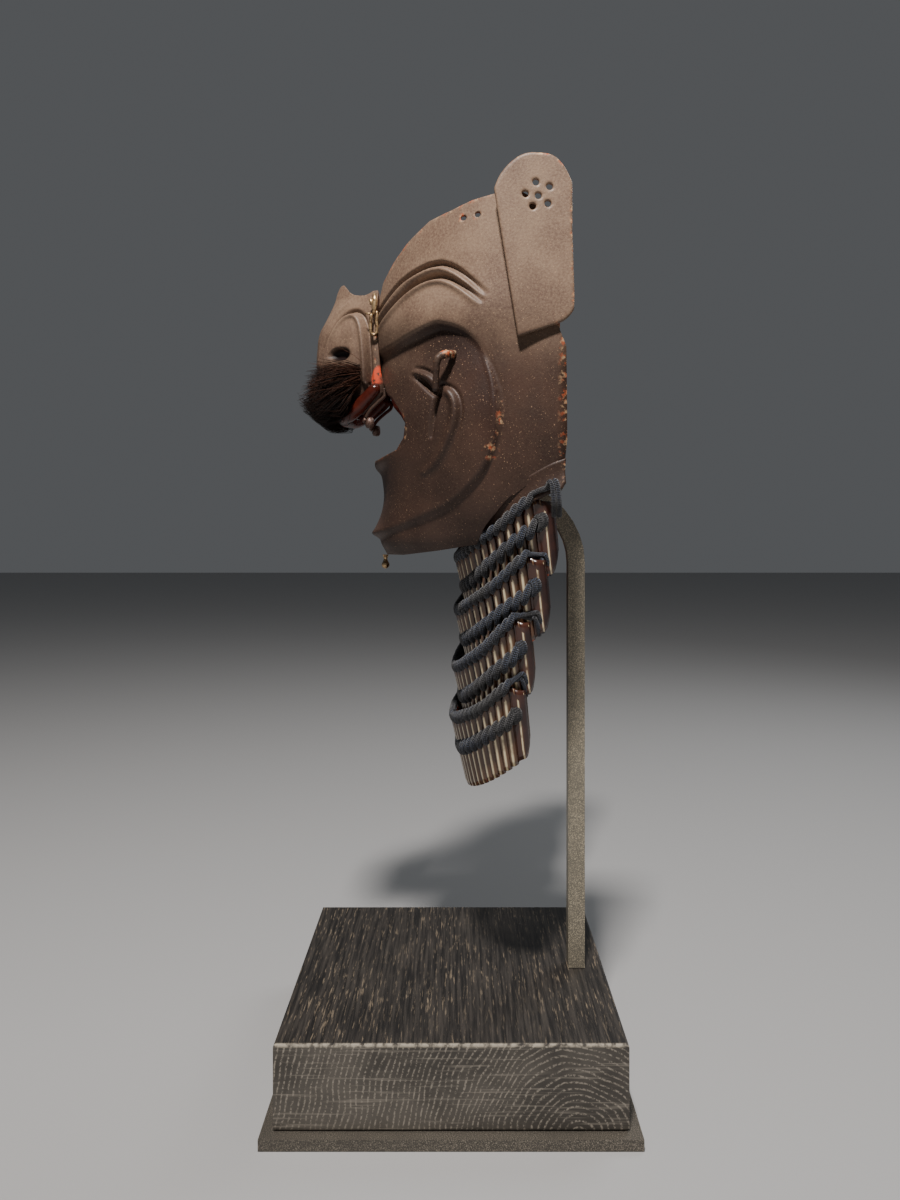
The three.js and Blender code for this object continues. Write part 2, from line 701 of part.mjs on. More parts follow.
function lameSolid(row) {
  const outer = [[], []];
  const inner = [[], []];
  const perRib = 2;
  const ends = 2;
  const total = ribCount * perRib;
  for (let i = -ends; i <= total + ends; i += 1) {
    let turn = ((i / total) * 2 - 1) * ribSpan;
    if (i < 0) turn = -ribSpan + ((1 - ribSpan) * i) / ends;
    if (i > total) turn = ribSpan + ((1 - ribSpan) * (i - total)) / ends;
    const angle = turn * lameSweep;
    const rib = i > 0 && i < total && i % perRib !== 0 ? ribHeight : 0;
    [0, 1].forEach((drop) => {
      outer[drop].push(lameOut(row, angle, rib, drop));
      inner[drop].push(lameOut(row, angle, -lameThick, drop));
    });
  }
  return skinSolid(outer, inner);
}

function ropeLine(row, grow, fall, count, span) {
  const line = [];
  for (let i = 0; i <= count; i += 1) {
    line.push(lameOut(row, ((i / count) * 2 - 1) * span, grow, fall / lameHeight));
  }
  return line;
}

function ropeSolid(row) {
  const radius = ropeDiameter / 2;
  const line = ropeLine(row, ribHeight + radius * 1.08 + gap + 0.5, ropeDrop, 56, ribSpan * lameSweep);
  const end = (share) => Math.min(1, 0.45 + 14 * Math.min(share, 1 - share));
  return sweep(line, (share) => radius * end(share), 4, Math.PI / 4, 0.8);
}

// The cord row over a plate's top edge; its ends run up the end plates of the plate above
function edgeSolid(row, above) {
  const radius = edgeCord / 2;
  const grow = ribHeight + radius + gap + 0.3;
  const line = ropeLine(row, grow, 1.2, 42, ribSpan * lameSweep * 1.05);
  if (above) {
    [-1, 1].forEach((side) => {
      const climb = [0.45, 0.26].map((drop) => lameOut(above, side * 0.92 * lameSweep, radius + gap, drop));
      climb.unshift(lameOut(row, side * ribSpan * lameSweep * 1.07, grow, -0.16));
      if (side > 0) line.push(...climb);
      else line.unshift(...climb.reverse());
    });
  }
  return sweep(line, () => radius, 4, Math.PI / 4, 0.8);
}

function collarSolid() {
  const order = [...collarRows.slice(1).map((row) => [row, -1]).reverse(), ...collarRows.map((row) => [row, 1])];
  const edge = (low) => order.map(([row, sign]) => new THREE.Vector3(
    sign * (low ? row.lowWidth : row.width) * faceHalfWidth,
    back(low ? row.lowBack : row.back), up(low ? row.lowUp : row.up)));
  const outer = [edge(false), edge(true)];
  const inner = outer.map((line) => line.map((point, i) => {
    const along = line[Math.min(i + 1, line.length - 1)].clone().sub(line[Math.max(i - 1, 0)]);
    const inward = new THREE.Vector3(-along.y, along.x, 0).normalize();
    return point.clone().addScaledVector(inward, collarThick);
  }));
  return skinSolid(outer, inner);
}

// Stand
function bevelBox(side, height, edge) {
  const half = side / 2 - edge;
  const shape = new THREE.Shape([
    new THREE.Vector2(-half, -half), new THREE.Vector2(half, -half),
    new THREE.Vector2(half, half), new THREE.Vector2(-half, half),
  ]);
  return new THREE.ExtrudeGeometry(shape, {
    depth: height - 2 * edge, bevelEnabled: true, bevelThickness: edge, bevelSize: edge, bevelSegments: 2,
  }).translate(0, 0, edge);
}

const barTip = back(between(shellRows, "front", 0.25)) + wall + gap + 0.2;
function barSolid() {
  const top = foot + 0.255 * faceHeight - barWidth / 2;
  const line = [new THREE.Vector3(0, barBack, blockTop + gap)];
  for (let i = 0; i <= 10; i += 1) {
    const angle = (i / 10) * Math.PI / 2;
    line.push(new THREE.Vector3(0, barBack - barBendRun * (1 - Math.cos(angle)), top - barBendRise * (1 - Math.sin(angle))));
  }
  line.push(new THREE.Vector3(0, barTip, top));
  const rings = line.map((point, i) => {
    const before = line[Math.max(i - 1, 0)];
    const after = line[Math.min(i + 1, line.length - 1)];
    let along = after.clone().sub(before).normalize();
    if (i === 0) along = new THREE.Vector3(0, 0, 1);
    if (i === line.length - 1) along = new THREE.Vector3(0, -1, 0);
    const across = new THREE.Vector3(1, 0, 0);
    const other = along.clone().cross(across);
    const half = barWidth / 2;
    return [[-1, -1], [1, -1], [1, 1], [-1, 1]].map(([a, b]) => point.clone()
      .addScaledVector(across, a * half).addScaledVector(other, b * half));
  });
  return ringSolid(rings);
}

// Looks and the group

const lacquer = { color: 0x5e463c, roughness: 0.55, metalness: 0.1 };
const glossLacquer = { color: 0x32130f, roughness: 0.25, metalness: 0.1 };
const silk = { color: 0x1b2537, roughness: 0.85, metalness: 0 };
const gilt = { color: 0x8d744c, roughness: 0.4, metalness: 0.8 };
const oak = { color: 0x35312d, roughness: 0.6, metalness: 0 };
const steel = { color: 0x4c4843, roughness: 0.4, metalness: 0.85 };
const boar = { color: 0x1a1210, roughness: 0.7, metalness: 0 };

const group = new THREE.Group();

function place(name, geometry, look) {
  const mesh = new THREE.Mesh(geometry, new THREE.MeshStandardMaterial(look));
  mesh.name = name;
  group.add(mesh);
}

function placePair(name, geometry, look) {
  place(`${name}_left`, geometry, look);
  place(`${name}_right`, mirrored(geometry), look);
}

place("base_plate", new THREE.BoxGeometry(plateSide, plateSide, plateThick).translate(0, 0, plateThick / 2), steel);
place("base_block", bevelBox(blockSide, blockHeight, blockEdge).translate(0, 0, blockFoot), oak);
place("stand_bar", barSolid(), steel);
place("face_shell", asGeometry(shell), lacquer);
placePair("ear_plate", asGeometry(ear), lacquer);
place("neck_plate", collarSolid(), lacquer);
place("nose_piece", asGeometry(nose), lacquer);
place("moustache", asGeometry(hair), boar);
placePair("lip_stud", studSolid(), gilt);
placePair("nose_pin", asGeometry(pinSolid()), gilt);
placePair("cheek_hook", asGeometry(hookSolid()), lacquer);
place("chin_knob", knobSolid(), gilt);
lameRows.forEach((row, i) => {
  place(`throat_lame_${i + 1}`, lameSolid(row), glossLacquer);
  place(`lace_rope_${i + 1}`, ropeSolid(row), silk);
  place(`lace_edge_${i + 1}`, edgeSolid(row, lameRows[i - 1]), silk);
});

export default group;
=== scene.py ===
"""Dresses the samurai face guard and its stand.

The tables and functions are in millimetres. The settings and the finished meshes are in metres.
"""

import math
import random
from functools import partial

import bmesh
import bpy
import numpy as np
from mathutils import Matrix, Vector


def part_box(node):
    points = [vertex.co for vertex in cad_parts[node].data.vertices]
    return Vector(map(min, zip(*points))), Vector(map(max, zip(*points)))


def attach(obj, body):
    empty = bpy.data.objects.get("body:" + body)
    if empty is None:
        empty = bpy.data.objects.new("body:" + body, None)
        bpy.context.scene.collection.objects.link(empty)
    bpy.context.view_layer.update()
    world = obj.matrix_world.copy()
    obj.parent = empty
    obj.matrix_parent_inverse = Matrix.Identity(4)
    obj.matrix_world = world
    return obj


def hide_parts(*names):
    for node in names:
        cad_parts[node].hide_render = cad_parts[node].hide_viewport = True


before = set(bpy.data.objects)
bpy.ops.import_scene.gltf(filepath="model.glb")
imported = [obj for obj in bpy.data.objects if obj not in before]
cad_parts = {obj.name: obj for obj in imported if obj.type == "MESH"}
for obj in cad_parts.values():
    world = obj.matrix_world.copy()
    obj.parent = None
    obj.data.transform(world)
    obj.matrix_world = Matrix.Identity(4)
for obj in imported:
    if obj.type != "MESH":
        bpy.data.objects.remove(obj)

bl_info = {
    "name": "Samurai Face Guard",
    "version": (1, 0, 0),
    "blender": (4, 5, 0),
    "location": "3D View > Sidebar > Face Guard",
    "description": "Builds a lacquered face guard with its laced throat guard on a stand",
    "category": "Object",
}

MM = 0.001
# The face: up of its foot, height, depth, front, half width, and the share back where it is widest
FOOT = 256.0
HEIGHT = 165.0
DEPTH = 94.0
FRONT = -42.5
HALF = 73.0
WIDEST = 0.965

# Sections of the face outside the cheek panel: up, front, width, exponent
SHELL_ROWS = np.array([
    (-0.05, 0.150, 0.60, 1.9), (0.006, 0.090, 0.70, 1.9), (0.036, 0.062, 0.76, 1.9),
    (0.085, 0.058, 0.83, 1.9), (0.150, 0.080, 0.90, 1.95), (0.230, 0.090, 0.95, 2.0),
    (0.330, 0.075, 0.985, 2.0), (0.480, 0.050, 1.0, 2.0), (0.620, 0.030, 1.005, 2.0),
    (0.740, 0.026, 1.005, 2.05), (0.860, 0.050, 1.0, 2.1), (1.040, 0.120, 1.0, 2.1),
])
# Sections of the cheek panel and chin
PANEL_ROWS = np.array([
    (-0.05, 0.110, 0.62, 1.9), (0.006, 0.075, 0.72, 1.9), (0.030, 0.030, 0.78, 1.8),
    (0.055, 0.001, 0.84, 1.75), (0.085, 0.030, 0.88, 1.8), (0.120, 0.058, 0.91, 1.9),
    (0.170, 0.077, 0.95, 1.95), (0.230, 0.070, 0.985, 2.0), (0.300, 0.045, 1.01, 2.05),
    (0.400, 0.035, 1.025, 2.1), (0.500, 0.045, 1.015, 2.05), (0.580, 0.046, 0.995, 2.0),
    (0.680, 0.046, 0.985, 2.0), (1.040, 0.090, 0.97, 2.0),
])
# Side outlines and lines on the face, as back and up
SHELL_OUTLINE = [
    (-0.30, 0.001), (0.197, 0.001), (0.387, 0.016), (0.577, 0.034), (0.617, 0.085), (0.714, 0.155),
    (0.915, 0.235), (0.991, 0.264), (1.0, 0.316), (0.994, 0.567), (0.963, 0.612), (0.965, 0.842),
    (0.900, 0.945), (0.771, 0.99), (0.652, 0.985), (0.552, 0.975), (0.449, 0.956), (0.344, 0.940),
    (0.233, 0.897), (0.161, 0.857), (0.093, 0.808), (0.073, 0.765), (0.069, 0.703), (0.069, 0.630),
    (0.081, 0.539), (0.112, 0.482), (0.147, 0.461), (0.202, 0.408), (0.220, 0.381), (0.210, 0.339),
    (0.171, 0.308), (0.059, 0.286), (-0.30, 0.279),
]
PANEL_LINE = [
    (-0.30, 0.604), (0.083, 0.604), (0.216, 0.622), (0.343, 0.645), (0.396, 0.647), (0.500, 0.625),
    (0.590, 0.579), (0.653, 0.501), (0.685, 0.435), (0.691, 0.370), (0.680, 0.327), (0.636, 0.256),
    (0.566, 0.199), (0.448, 0.141), (0.279, 0.096), (0.112, 0.064), (0.009, 0.048), (-0.30, 0.048),
]
EYE_UPPER = [(0.040, 0.700), (0.076, 0.725), (0.188, 0.778), (0.290, 0.803), (0.370, 0.811), (0.430, 0.803),
             (0.500, 0.776), (0.616, 0.711)]
EYE_LOWER = [(0.040, 0.668), (0.083, 0.693), (0.199, 0.742), (0.290, 0.768), (0.370, 0.776), (0.430, 0.768),
             (0.500, 0.742), (0.603, 0.690)]
CHEEK_FOLD = [(0.402, 0.464), (0.440, 0.452), (0.464, 0.429), (0.469, 0.395), (0.453, 0.353), (0.417, 0.303),
              (0.370, 0.262), (0.320, 0.240)]
CHEEK_GROOVE = [(0.392, 0.462), (0.372, 0.420), (0.360, 0.380), (0.352, 0.335)]
LENS_UPPER = [(0.262, 0.535), (0.310, 0.527), (0.352, 0.512), (0.386, 0.490)]
LENS_LOWER = [(0.236, 0.522), (0.290, 0.500), (0.340, 0.470), (0.388, 0.445)]
LIP_LINE = [(0.0, 0.040, 0.270), (0.14, 0.052, 0.276), (0.28, 0.100, 0.288), (0.40, 0.165, 0.305)]
EAR_OUTLINE = [
    (0.652, 0.986), (0.680, 1.022), (0.729, 1.055), (0.793, 1.078), (0.859, 1.081), (0.931, 1.073),
    (0.985, 1.042), (1.020, 1.001), (1.020, 0.871), (1.030, 0.687), (1.018, 0.655), (0.985, 0.635),
    (0.948, 0.624), (0.764, 0.590),
]
EAR_HOLES = [(0.859, 0.965), (0.848, 1.001), (0.912, 0.989), (0.904, 0.944), (0.833, 0.937), (0.799, 0.970)]
CORD_HOLES = [(0.511, 0.930), (0.579, 0.934)]
# Worn places: the rear of the panel's rim, and single chips by back, up and size in millimetres
PANEL_RIM = [(0.655, 0.300), (0.672, 0.330), (0.690, 0.370), (0.689, 0.420)]
CHIPS = [(17.4, 303.5, 4.6), (50.5, 328.0, 4.0), (50.5, 313.5, 3.2), (48.5, 292.0, 3.0)]
# Throat plates: width, how far back the front and the ends are, how far up the front and the ends are
LAMES = [
    (0.890, 0.504, 0.918, -0.024, 0.159), (0.870, 0.504, 0.881, -0.188, -0.001),
    (0.820, 0.493, 0.812, -0.362, -0.174), (0.775, 0.480, 0.790, -0.513, -0.365),
]
LAME_HEIGHT, LAME_THICK, LAME_LEAN, LAME_SHIFT = 32.0, 1.6, 7.6, 3.6
# Angle from a plate's middle to its end, the share of it with ribs, and the ribs
LAME_SWEEP, RIB_SPAN, RIBS, RIB_HEIGHT = 1.61, 0.87, 25, 1.0
# Mesh steps across a plate's smooth end, and how far a strand leans over its row
END_STEPS, STRAND_LEAN = 25, 2.1
# Strip under the jaw: width, back and up of the upper edge, then of the lower edge
COLLAR = [
    (0.000, 0.543, 0.034, 0.000, 0.500, -0.004), (0.339, 0.575, 0.044, 0.325, 0.535, 0.010),
    (0.633, 0.605, 0.090, 0.600, 0.606, 0.048), (0.797, 0.655, 0.142, 0.775, 0.676, 0.086),
    (0.905, 0.765, 0.200, 0.895, 0.775, 0.132), (0.962, 0.910, 0.250, 0.975, 0.905, 0.172),
    (0.975, 0.995, 0.268, 0.985, 0.990, 0.182),
]


# Numbers


def back(share):
    """Y at a share of the face's depth behind its front."""
    return FRONT + share * DEPTH


def up(share):
    """Z at a share of the face's height above its foot."""
    return FOOT + share * HEIGHT


def between(rows, column, at):
    """A table column at the given ups, on a smooth curve through the rows."""
    ups, values = rows[:, 0], rows[:, column]
    slope = np.gradient(values, ups)
    i = np.clip(np.searchsorted(ups, at, side="right") - 1, 0, len(ups) - 2)
    step = ups[i + 1] - ups[i]
    t = np.clip((at - ups[i]) / step, 0, 1)
    return ((2 * t**3 - 3 * t**2 + 1) * values[i] + (t**3 - 2 * t**2 + t) * slope[i] * step
            + (-2 * t**3 + 3 * t**2) * values[i + 1] + (t**3 - t**2) * slope[i + 1] * step)


def skin(rows, angle, at, grow=0.0):
    """Points of a face section in plan: X and Y at an angle and up."""
    front, width, power = (between(rows, c, at) for c in (1, 2, 3))
    sine, cosine = np.sin(angle), np.cos(angle)
    x = np.sign(sine) * np.abs(sine) ** (2 / power) * (width * HALF + grow)
    y = back(WIDEST) - np.abs(cosine) ** (2 / power) * ((WIDEST - front) * DEPTH + grow)
    return x, y


def smooth_line(points, count):
    """Catmull-Rom line through points of any size."""
    p = np.array(points, float)
    p = np.vstack([2 * p[0] - p[1], p, 2 * p[-1] - p[-2]])
    out = []
    for i in range(1, len(p) - 2):
        for t in np.linspace(0, 1, count, endpoint=False):
            out.append(0.5 * (2 * p[i] + (p[i + 1] - p[i - 1]) * t + (2 * p[i - 1] - 5 * p[i] + 4 * p[i + 1]
                       - p[i + 2]) * t * t + (3 * p[i] - p[i - 1] - 3 * p[i + 1] + p[i + 2]) * t**3))
    out.append(p[-2])
    return np.array(out)


def side_points(line, count=1):
    """Y and Z along a line given in shares of the face, smoothed when the count is above one."""
    pts = smooth_line(line, count) if count > 1 else np.array(line, float)
    return np.column_stack([back(pts[:, 0]), up(pts[:, 1])])


def line_distance(y, z, line):
    """Distance to a line, how far along it the nearest point lies, and the distance with its side."""
    best = np.full(y.shape, 1e9)
    along, hand = np.zeros(y.shape), np.ones(y.shape)
    lengths = np.hypot(*np.diff(line, axis=0).T)
    total, run = lengths.sum(), 0.0
    for a, b, length in zip(line[:-1], line[1:], lengths):
        t = np.clip(((y - a[0]) * (b[0] - a[0]) + (z - a[1]) * (b[1] - a[1])) / max(length**2, 1e-9), 0, 1)
        d = np.hypot(y - a[0] - t * (b[0] - a[0]), z - a[1] - t * (b[1] - a[1]))
        near = d < best
        turn = (b[0] - a[0]) * (z - a[1]) - (b[1] - a[1]) * (y - a[0])
        best = np.where(near, d, best)
        along = np.where(near, (run + t * length) / total, along)
        hand = np.where(near, np.where(turn < 0, -1.0, 1.0), hand)
        run += length
    return best, along, best * hand


def inside(y, z, loop):
    """Which places lie inside a closed outline."""
    odd = np.zeros(y.shape, bool)
    for (y0, z0), (y1, z1) in zip(loop, np.roll(loop, -1, axis=0)):
        cross = (z0 > z) != (z1 > z)
        odd ^= cross & (y < (y1 - y0) * (z - z0) / (z1 - z0 + 1e-12) + y0)
    return odd


def bump(value, centre, spread):
    """A rounded hill of height one."""
    return np.exp(-(((value - centre) / spread) ** 2))


def ease(value, low, high):
    """A smooth rise from zero to one between two values."""
    t = np.clip((value - low) / (high - low), 0, 1)
    return t * t * (3 - 2 * t)


def swell(along, power):
    """Full in the middle of a line and nothing at its ends."""
    return np.sin(np.pi * np.clip(along, 0, 1)) ** power


# Shader nodes


class Shader:
    """Short hand for a material's node tree."""

    def __init__(self, name, material=None):
        self.material = material or bpy.data.materials.new(name)
        self.material.use_nodes = True
        self.tree = self.material.node_tree
        self.bsdf = self.tree.nodes["Principled BSDF"]
        self.place = self.tree.nodes.new("ShaderNodeTexCoord").outputs["Object"]

    def node(self, kind, inputs=(), **settings):
        """A new node with its inputs linked or set."""
        node = self.tree.nodes.new(kind)
        for key, value in settings.items():
            setattr(node, key, value)
        for key, value in dict(inputs).items():
            if isinstance(value, bpy.types.NodeSocket):
                self.tree.links.new(value, node.inputs[key])
            else:
                node.inputs[key].default_value = value
        return node

    def noise(self, scale, detail=4.0, rough=0.55, stretch=None):
        """Noise on the piece, drawn out along an axis where stretch says so."""
        place = self.place
        if stretch:
            place = self.node("ShaderNodeMapping", {"Vector": place, "Scale": stretch}).outputs[0]
        return self.node("ShaderNodeTexNoise", {"Vector": place, "Scale": scale, "Detail": detail,
                                                "Roughness": rough}).outputs["Fac"]

    def ramp(self, value, low, high):
        """A smooth rise from zero to one between two values."""
        node = self.node("ShaderNodeMapRange", {"Value": value, "From Min": low, "From Max": high},
                         interpolation_type="SMOOTHSTEP")
        return node.outputs["Result"]

    def math(self, kind, a, b=0.0):
        """Arithmetic on one or two numbers."""
        return self.node("ShaderNodeMath", {0: a, 1: b}, operation=kind).outputs[0]

    def mix(self, factor, a, b):
        """Between two colours, or between two numbers."""
        if isinstance(b, float):
            node = self.node("ShaderNodeMapRange", {"Value": factor, "To Min": a, "To Max": b})
            return node.outputs["Result"]
        node = self.tree.nodes.new("ShaderNodeMix")
        node.data_type = "RGBA"
        for index, value in ((0, factor), (6, a), (7, b)):
            if isinstance(value, bpy.types.NodeSocket):
                self.tree.links.new(value, node.inputs[index])
            else:
                node.inputs[index].default_value = value
        return node.outputs[2]

    def attribute(self, name):
        """A number kept on the mesh."""
        return self.node("ShaderNodeAttribute", attribute_name=name).outputs["Fac"]

    def bump(self, height, strength, distance):
        """A bump in metres, over those already there."""
        node = self.node("ShaderNodeBump", {"Height": height, "Strength": strength, "Distance": distance})
        if self.bsdf.inputs["Normal"].is_linked:
            before = self.bsdf.inputs["Normal"].links[0].from_socket
            self.tree.links.new(before, node.inputs["Normal"])
        self.tree.links.new(node.outputs[0], self.bsdf.inputs["Normal"])

    def set(self, **values):
        """Fills the surface's inputs and gives the material."""
        for key, value in values.items():
            socket = self.bsdf.inputs[key.replace("_", " ")]
            if isinstance(value, bpy.types.NodeSocket):
                self.tree.links.new(value, socket)
            else:
                socket.default_value = value
        return self.material


def rgb(r, g, b):
    """A display colour as the linear one that the shaders use."""
    return tuple((c / 255 / 12.92) if c <= 10 else ((c / 255 + 0.055) / 1.055) ** 2.4 for c in (r, g, b)) + (1.0,)


def finish(name):
    """A colour of the settings, with its alpha."""
    return (*getattr(bpy.context.scene.faceguard_finish, name), 1.0)


class FinishSettings(bpy.types.PropertyGroup):
    """Tones of the lacquer, silk, hair and oak"""

    russet: bpy.props.FloatVectorProperty(name="Russet", description="Lighter tone of the face's lacquer", size=3,
                                          default=rgb(132, 109, 92)[:3], subtype="COLOR", min=0.0, max=1.0)
    panel: bpy.props.FloatVectorProperty(name="Cheek Panel", description="Lighter tone of the dark panel", size=3,
                                         default=rgb(49, 28, 24)[:3], subtype="COLOR", min=0.0, max=1.0)
    maroon: bpy.props.FloatVectorProperty(name="Maroon", description="Lighter tone of the throat plates", size=3,
                                          default=rgb(66, 36, 29)[:3], subtype="COLOR", min=0.0, max=1.0)
    silk: bpy.props.FloatVectorProperty(name="Silk", description="Dashes in the braid of the cords", size=3,
                                        default=rgb(118, 116, 118)[:3], subtype="COLOR", min=0.0, max=1.0)
    hair: bpy.props.FloatVectorProperty(name="Hair", description="Colour of the brown strands", size=3,
                                        default=rgb(84, 54, 42)[:3], subtype="COLOR", min=0.0, max=1.0)
    oak: bpy.props.FloatVectorProperty(name="Oak", description="Lighter tone of the block's sides", size=3,
                                       default=rgb(62, 57, 52)[:3], subtype="COLOR", min=0.0, max=1.0)


def lacquer_look(name):
    """Matt russet lacquer with a leathery grain, red inside and worn at its edges; darker on the cheek panel and low
    on the face, partly its own darker tone and partly painted shade.
    """
    s = Shader(name)
    mottle = s.ramp(s.noise(38, 6.0), 0.32, 0.70)
    grain = s.ramp(s.noise(900, 3.0, 0.7), 0.30, 0.72)
    colour = s.mix(mottle, rgb(102, 79, 67), finish("russet"))
    colour = s.mix(s.math("MULTIPLY", grain, 0.36), colour, rgb(170, 147, 122))
    # The dark tone is partly the lacquer's own darker tone on the cheek panel and low on the face, and partly
    # painted shade where the surface turns down away from the light
    low = s.mix(mottle, rgb(30, 15, 13), finish("panel"))
    place = s.node("ShaderNodeSeparateXYZ", {0: s.place})
    height = s.math("ADD", place.outputs[2], s.math("MULTIPLY", s.noise(28, 3.0), 0.03))
    deep = s.math("MAXIMUM", s.attribute("panel"), s.math("MULTIPLY", s.ramp(height, 0.402, 0.345), 0.92))
    colour = s.mix(s.math("MULTIPLY", deep, 0.92), colour, low)
    speck = s.ramp(s.noise(1500, 2.0, 0.6), 0.66, 0.72)
    colour = s.mix(s.math("MULTIPLY", speck, 0.55), colour, rgb(196, 160, 128))
    red = s.mix(s.ramp(s.noise(120, 4.0), 0.35, 0.7), rgb(88, 26, 16), rgb(108, 38, 22))
    colour = s.mix(s.attribute("inner"), colour, red)
    worn = s.math("MULTIPLY", s.attribute("wear"), s.ramp(s.noise(260, 5.0, 0.65), 0.50, 0.58))
    tone = s.mix(s.ramp(s.noise(420, 3.0), 0.4, 0.6), rgb(176, 84, 48), rgb(206, 172, 132))
    colour = s.mix(worn, colour, tone)
    s.bump(s.noise(1100, 3.0, 0.6), 0.5, 0.0002)
    s.bump(s.noise(240, 4.0, 0.6), 0.25, 0.0002)
    return s.set(Base_Color=colour, Roughness=s.mix(mottle, 0.52, 0.40), Specular_IOR_Level=0.3)


def nose_look():
    """The face's lacquer, with a glossy red-brown lip, the bright worn patch beside it and painted shade in the
    nostrils.
    """
    s = Shader("nose_lacquer", lacquer_look("nose_lacquer"))
    colour = s.bsdf.inputs["Base Color"].links[0].from_socket
    rough = s.bsdf.inputs["Roughness"].links[0].from_socket
    lip = s.attribute("lip")
    colour = s.mix(lip, colour, s.mix(s.ramp(s.noise(90, 3.0), 0.35, 0.7), rgb(56, 20, 14), rgb(84, 34, 24)))
    bright = s.math("MULTIPLY", s.attribute("patch"), s.ramp(s.noise(380, 4.0, 0.6), 0.36, 0.46))
    colour = s.mix(bright, colour, rgb(206, 78, 50))
    colour = s.mix(s.attribute("inner"), colour, rgb(70, 24, 17))
    # Painted shade inside the nostrils
    colour = s.mix(s.attribute("hollow"), colour, rgb(24, 12, 10))
    return s.set(Base_Color=colour, Roughness=s.mix(lip, rough, 0.2))


def gloss_look():
    """Dark maroon lacquer with a painted gold highlight along the ribs and the end plates' ridges, and a painted lit
    facet on the end plates.
    """
    s = Shader("gloss_lacquer")
    tone = s.mix(s.ramp(s.noise(90, 4.0), 0.35, 0.7), rgb(42, 20, 17), finish("maroon"))
    rib = s.attribute("rib")
    # Painted highlight: the ribs turn a lighter gold-brown up their sides and near white at their crests and along
    # each end plate's ridge
    tone = s.mix(s.ramp(rib, 0.35, 0.92), tone, rgb(92, 64, 44))
    crest = s.math("MULTIPLY", s.ramp(rib, 0.93, 1.0), s.ramp(s.noise(160, 3.0, 0.5), 0.20, 0.45))
    tone = s.mix(crest, tone, rgb(238, 220, 180))
    # Painted light: the end plate's facet that faces the light is lighter
    tone = s.mix(s.attribute("painted_lit_facet"), tone, rgb(74, 44, 34))
    worn = s.math("MULTIPLY", s.attribute("wear"), s.ramp(s.noise(420, 4.0, 0.6), 0.56, 0.62))
    tone = s.mix(worn, tone, rgb(186, 82, 44))
    s.bump(s.noise(500, 2.0), 0.08, 0.0001)
    rough = s.mix(s.noise(200, 2.0), 0.16, 0.28)
    return s.set(Base_Color=tone, Roughness=rough, Coat_Weight=0.3, Coat_Roughness=0.10)


def silk_look():
    """Nearly black braided silk, with light dashes that cross over round the cord."""
    s = Shader("silk_cord")
    uv = s.node("ShaderNodeSeparateXYZ", {0: s.tree.nodes.new("ShaderNodeUVMap").outputs[0]})
    round_way = s.math("MULTIPLY", uv.outputs[0], 7 * math.tau)
    along = s.math("MULTIPLY", uv.outputs[1], 4.2)
    one = s.math("SINE", s.math("ADD", round_way, along))
    two = s.math("SINE", s.math("SUBTRACT", round_way, along))
    braid = s.math("MULTIPLY", one, two)
    fuzz = s.noise(2200, 2.0, 0.6)
    light = s.math("MULTIPLY", s.ramp(braid, 0.36, 0.80), s.ramp(fuzz, 0.30, 0.62))
    patch = s.ramp(s.noise(45, 3.0), 0.42, 0.62)
    dark = s.mix(patch, rgb(7, 8, 13), rgb(12, 12, 15))
    tone = s.mix(light, dark, s.mix(patch, rgb(98, 115, 150), finish("silk")))
    s.bump(braid, 0.8, 0.0004)
    s.bump(fuzz, 0.3, 0.0001)
    return s.set(Base_Color=tone, Roughness=0.6, Sheen_Weight=0.2, Sheen_Roughness=0.4)


def hair_look():
    """Coarse dark hair with brown strands in it, browner towards the top as painted light."""
    s = Shader("boar_hair")
    tone = s.mix(s.attribute("brown"), rgb(9, 6, 5), finish("hair"))
    return s.set(Base_Color=tone, Roughness=0.5, Specular_IOR_Level=0.08)


def gilt_look():
    """Gilt, worn to brown in patches."""
    s = Shader("worn_gilt")
    tone = s.mix(s.ramp(s.noise(500, 4.0), 0.4, 0.65), rgb(196, 168, 128), rgb(96, 68, 46))
    s.bump(s.noise(600, 3.0), 0.2, 0.0001)
    return s.set(Base_Color=tone, Roughness=0.38, Metallic=0.8)


def steel_look(name, dark, light):
    """Dull metal, speckled between two tones."""
    s = Shader(name)
    speck = s.ramp(s.noise(2200, 2.0, 0.7), 0.45, 0.75)
    tone = s.mix(speck, dark, light)
    tone = s.mix(s.math("MULTIPLY", s.ramp(s.noise(30, 4.0), 0.4, 0.7), 0.4), tone, dark)
    s.bump(s.noise(1400, 2.0), 0.3, 0.0001)
    return s.set(Base_Color=tone, Roughness=s.mix(s.noise(900, 3.0), 0.36, 0.6), Metallic=0.4)


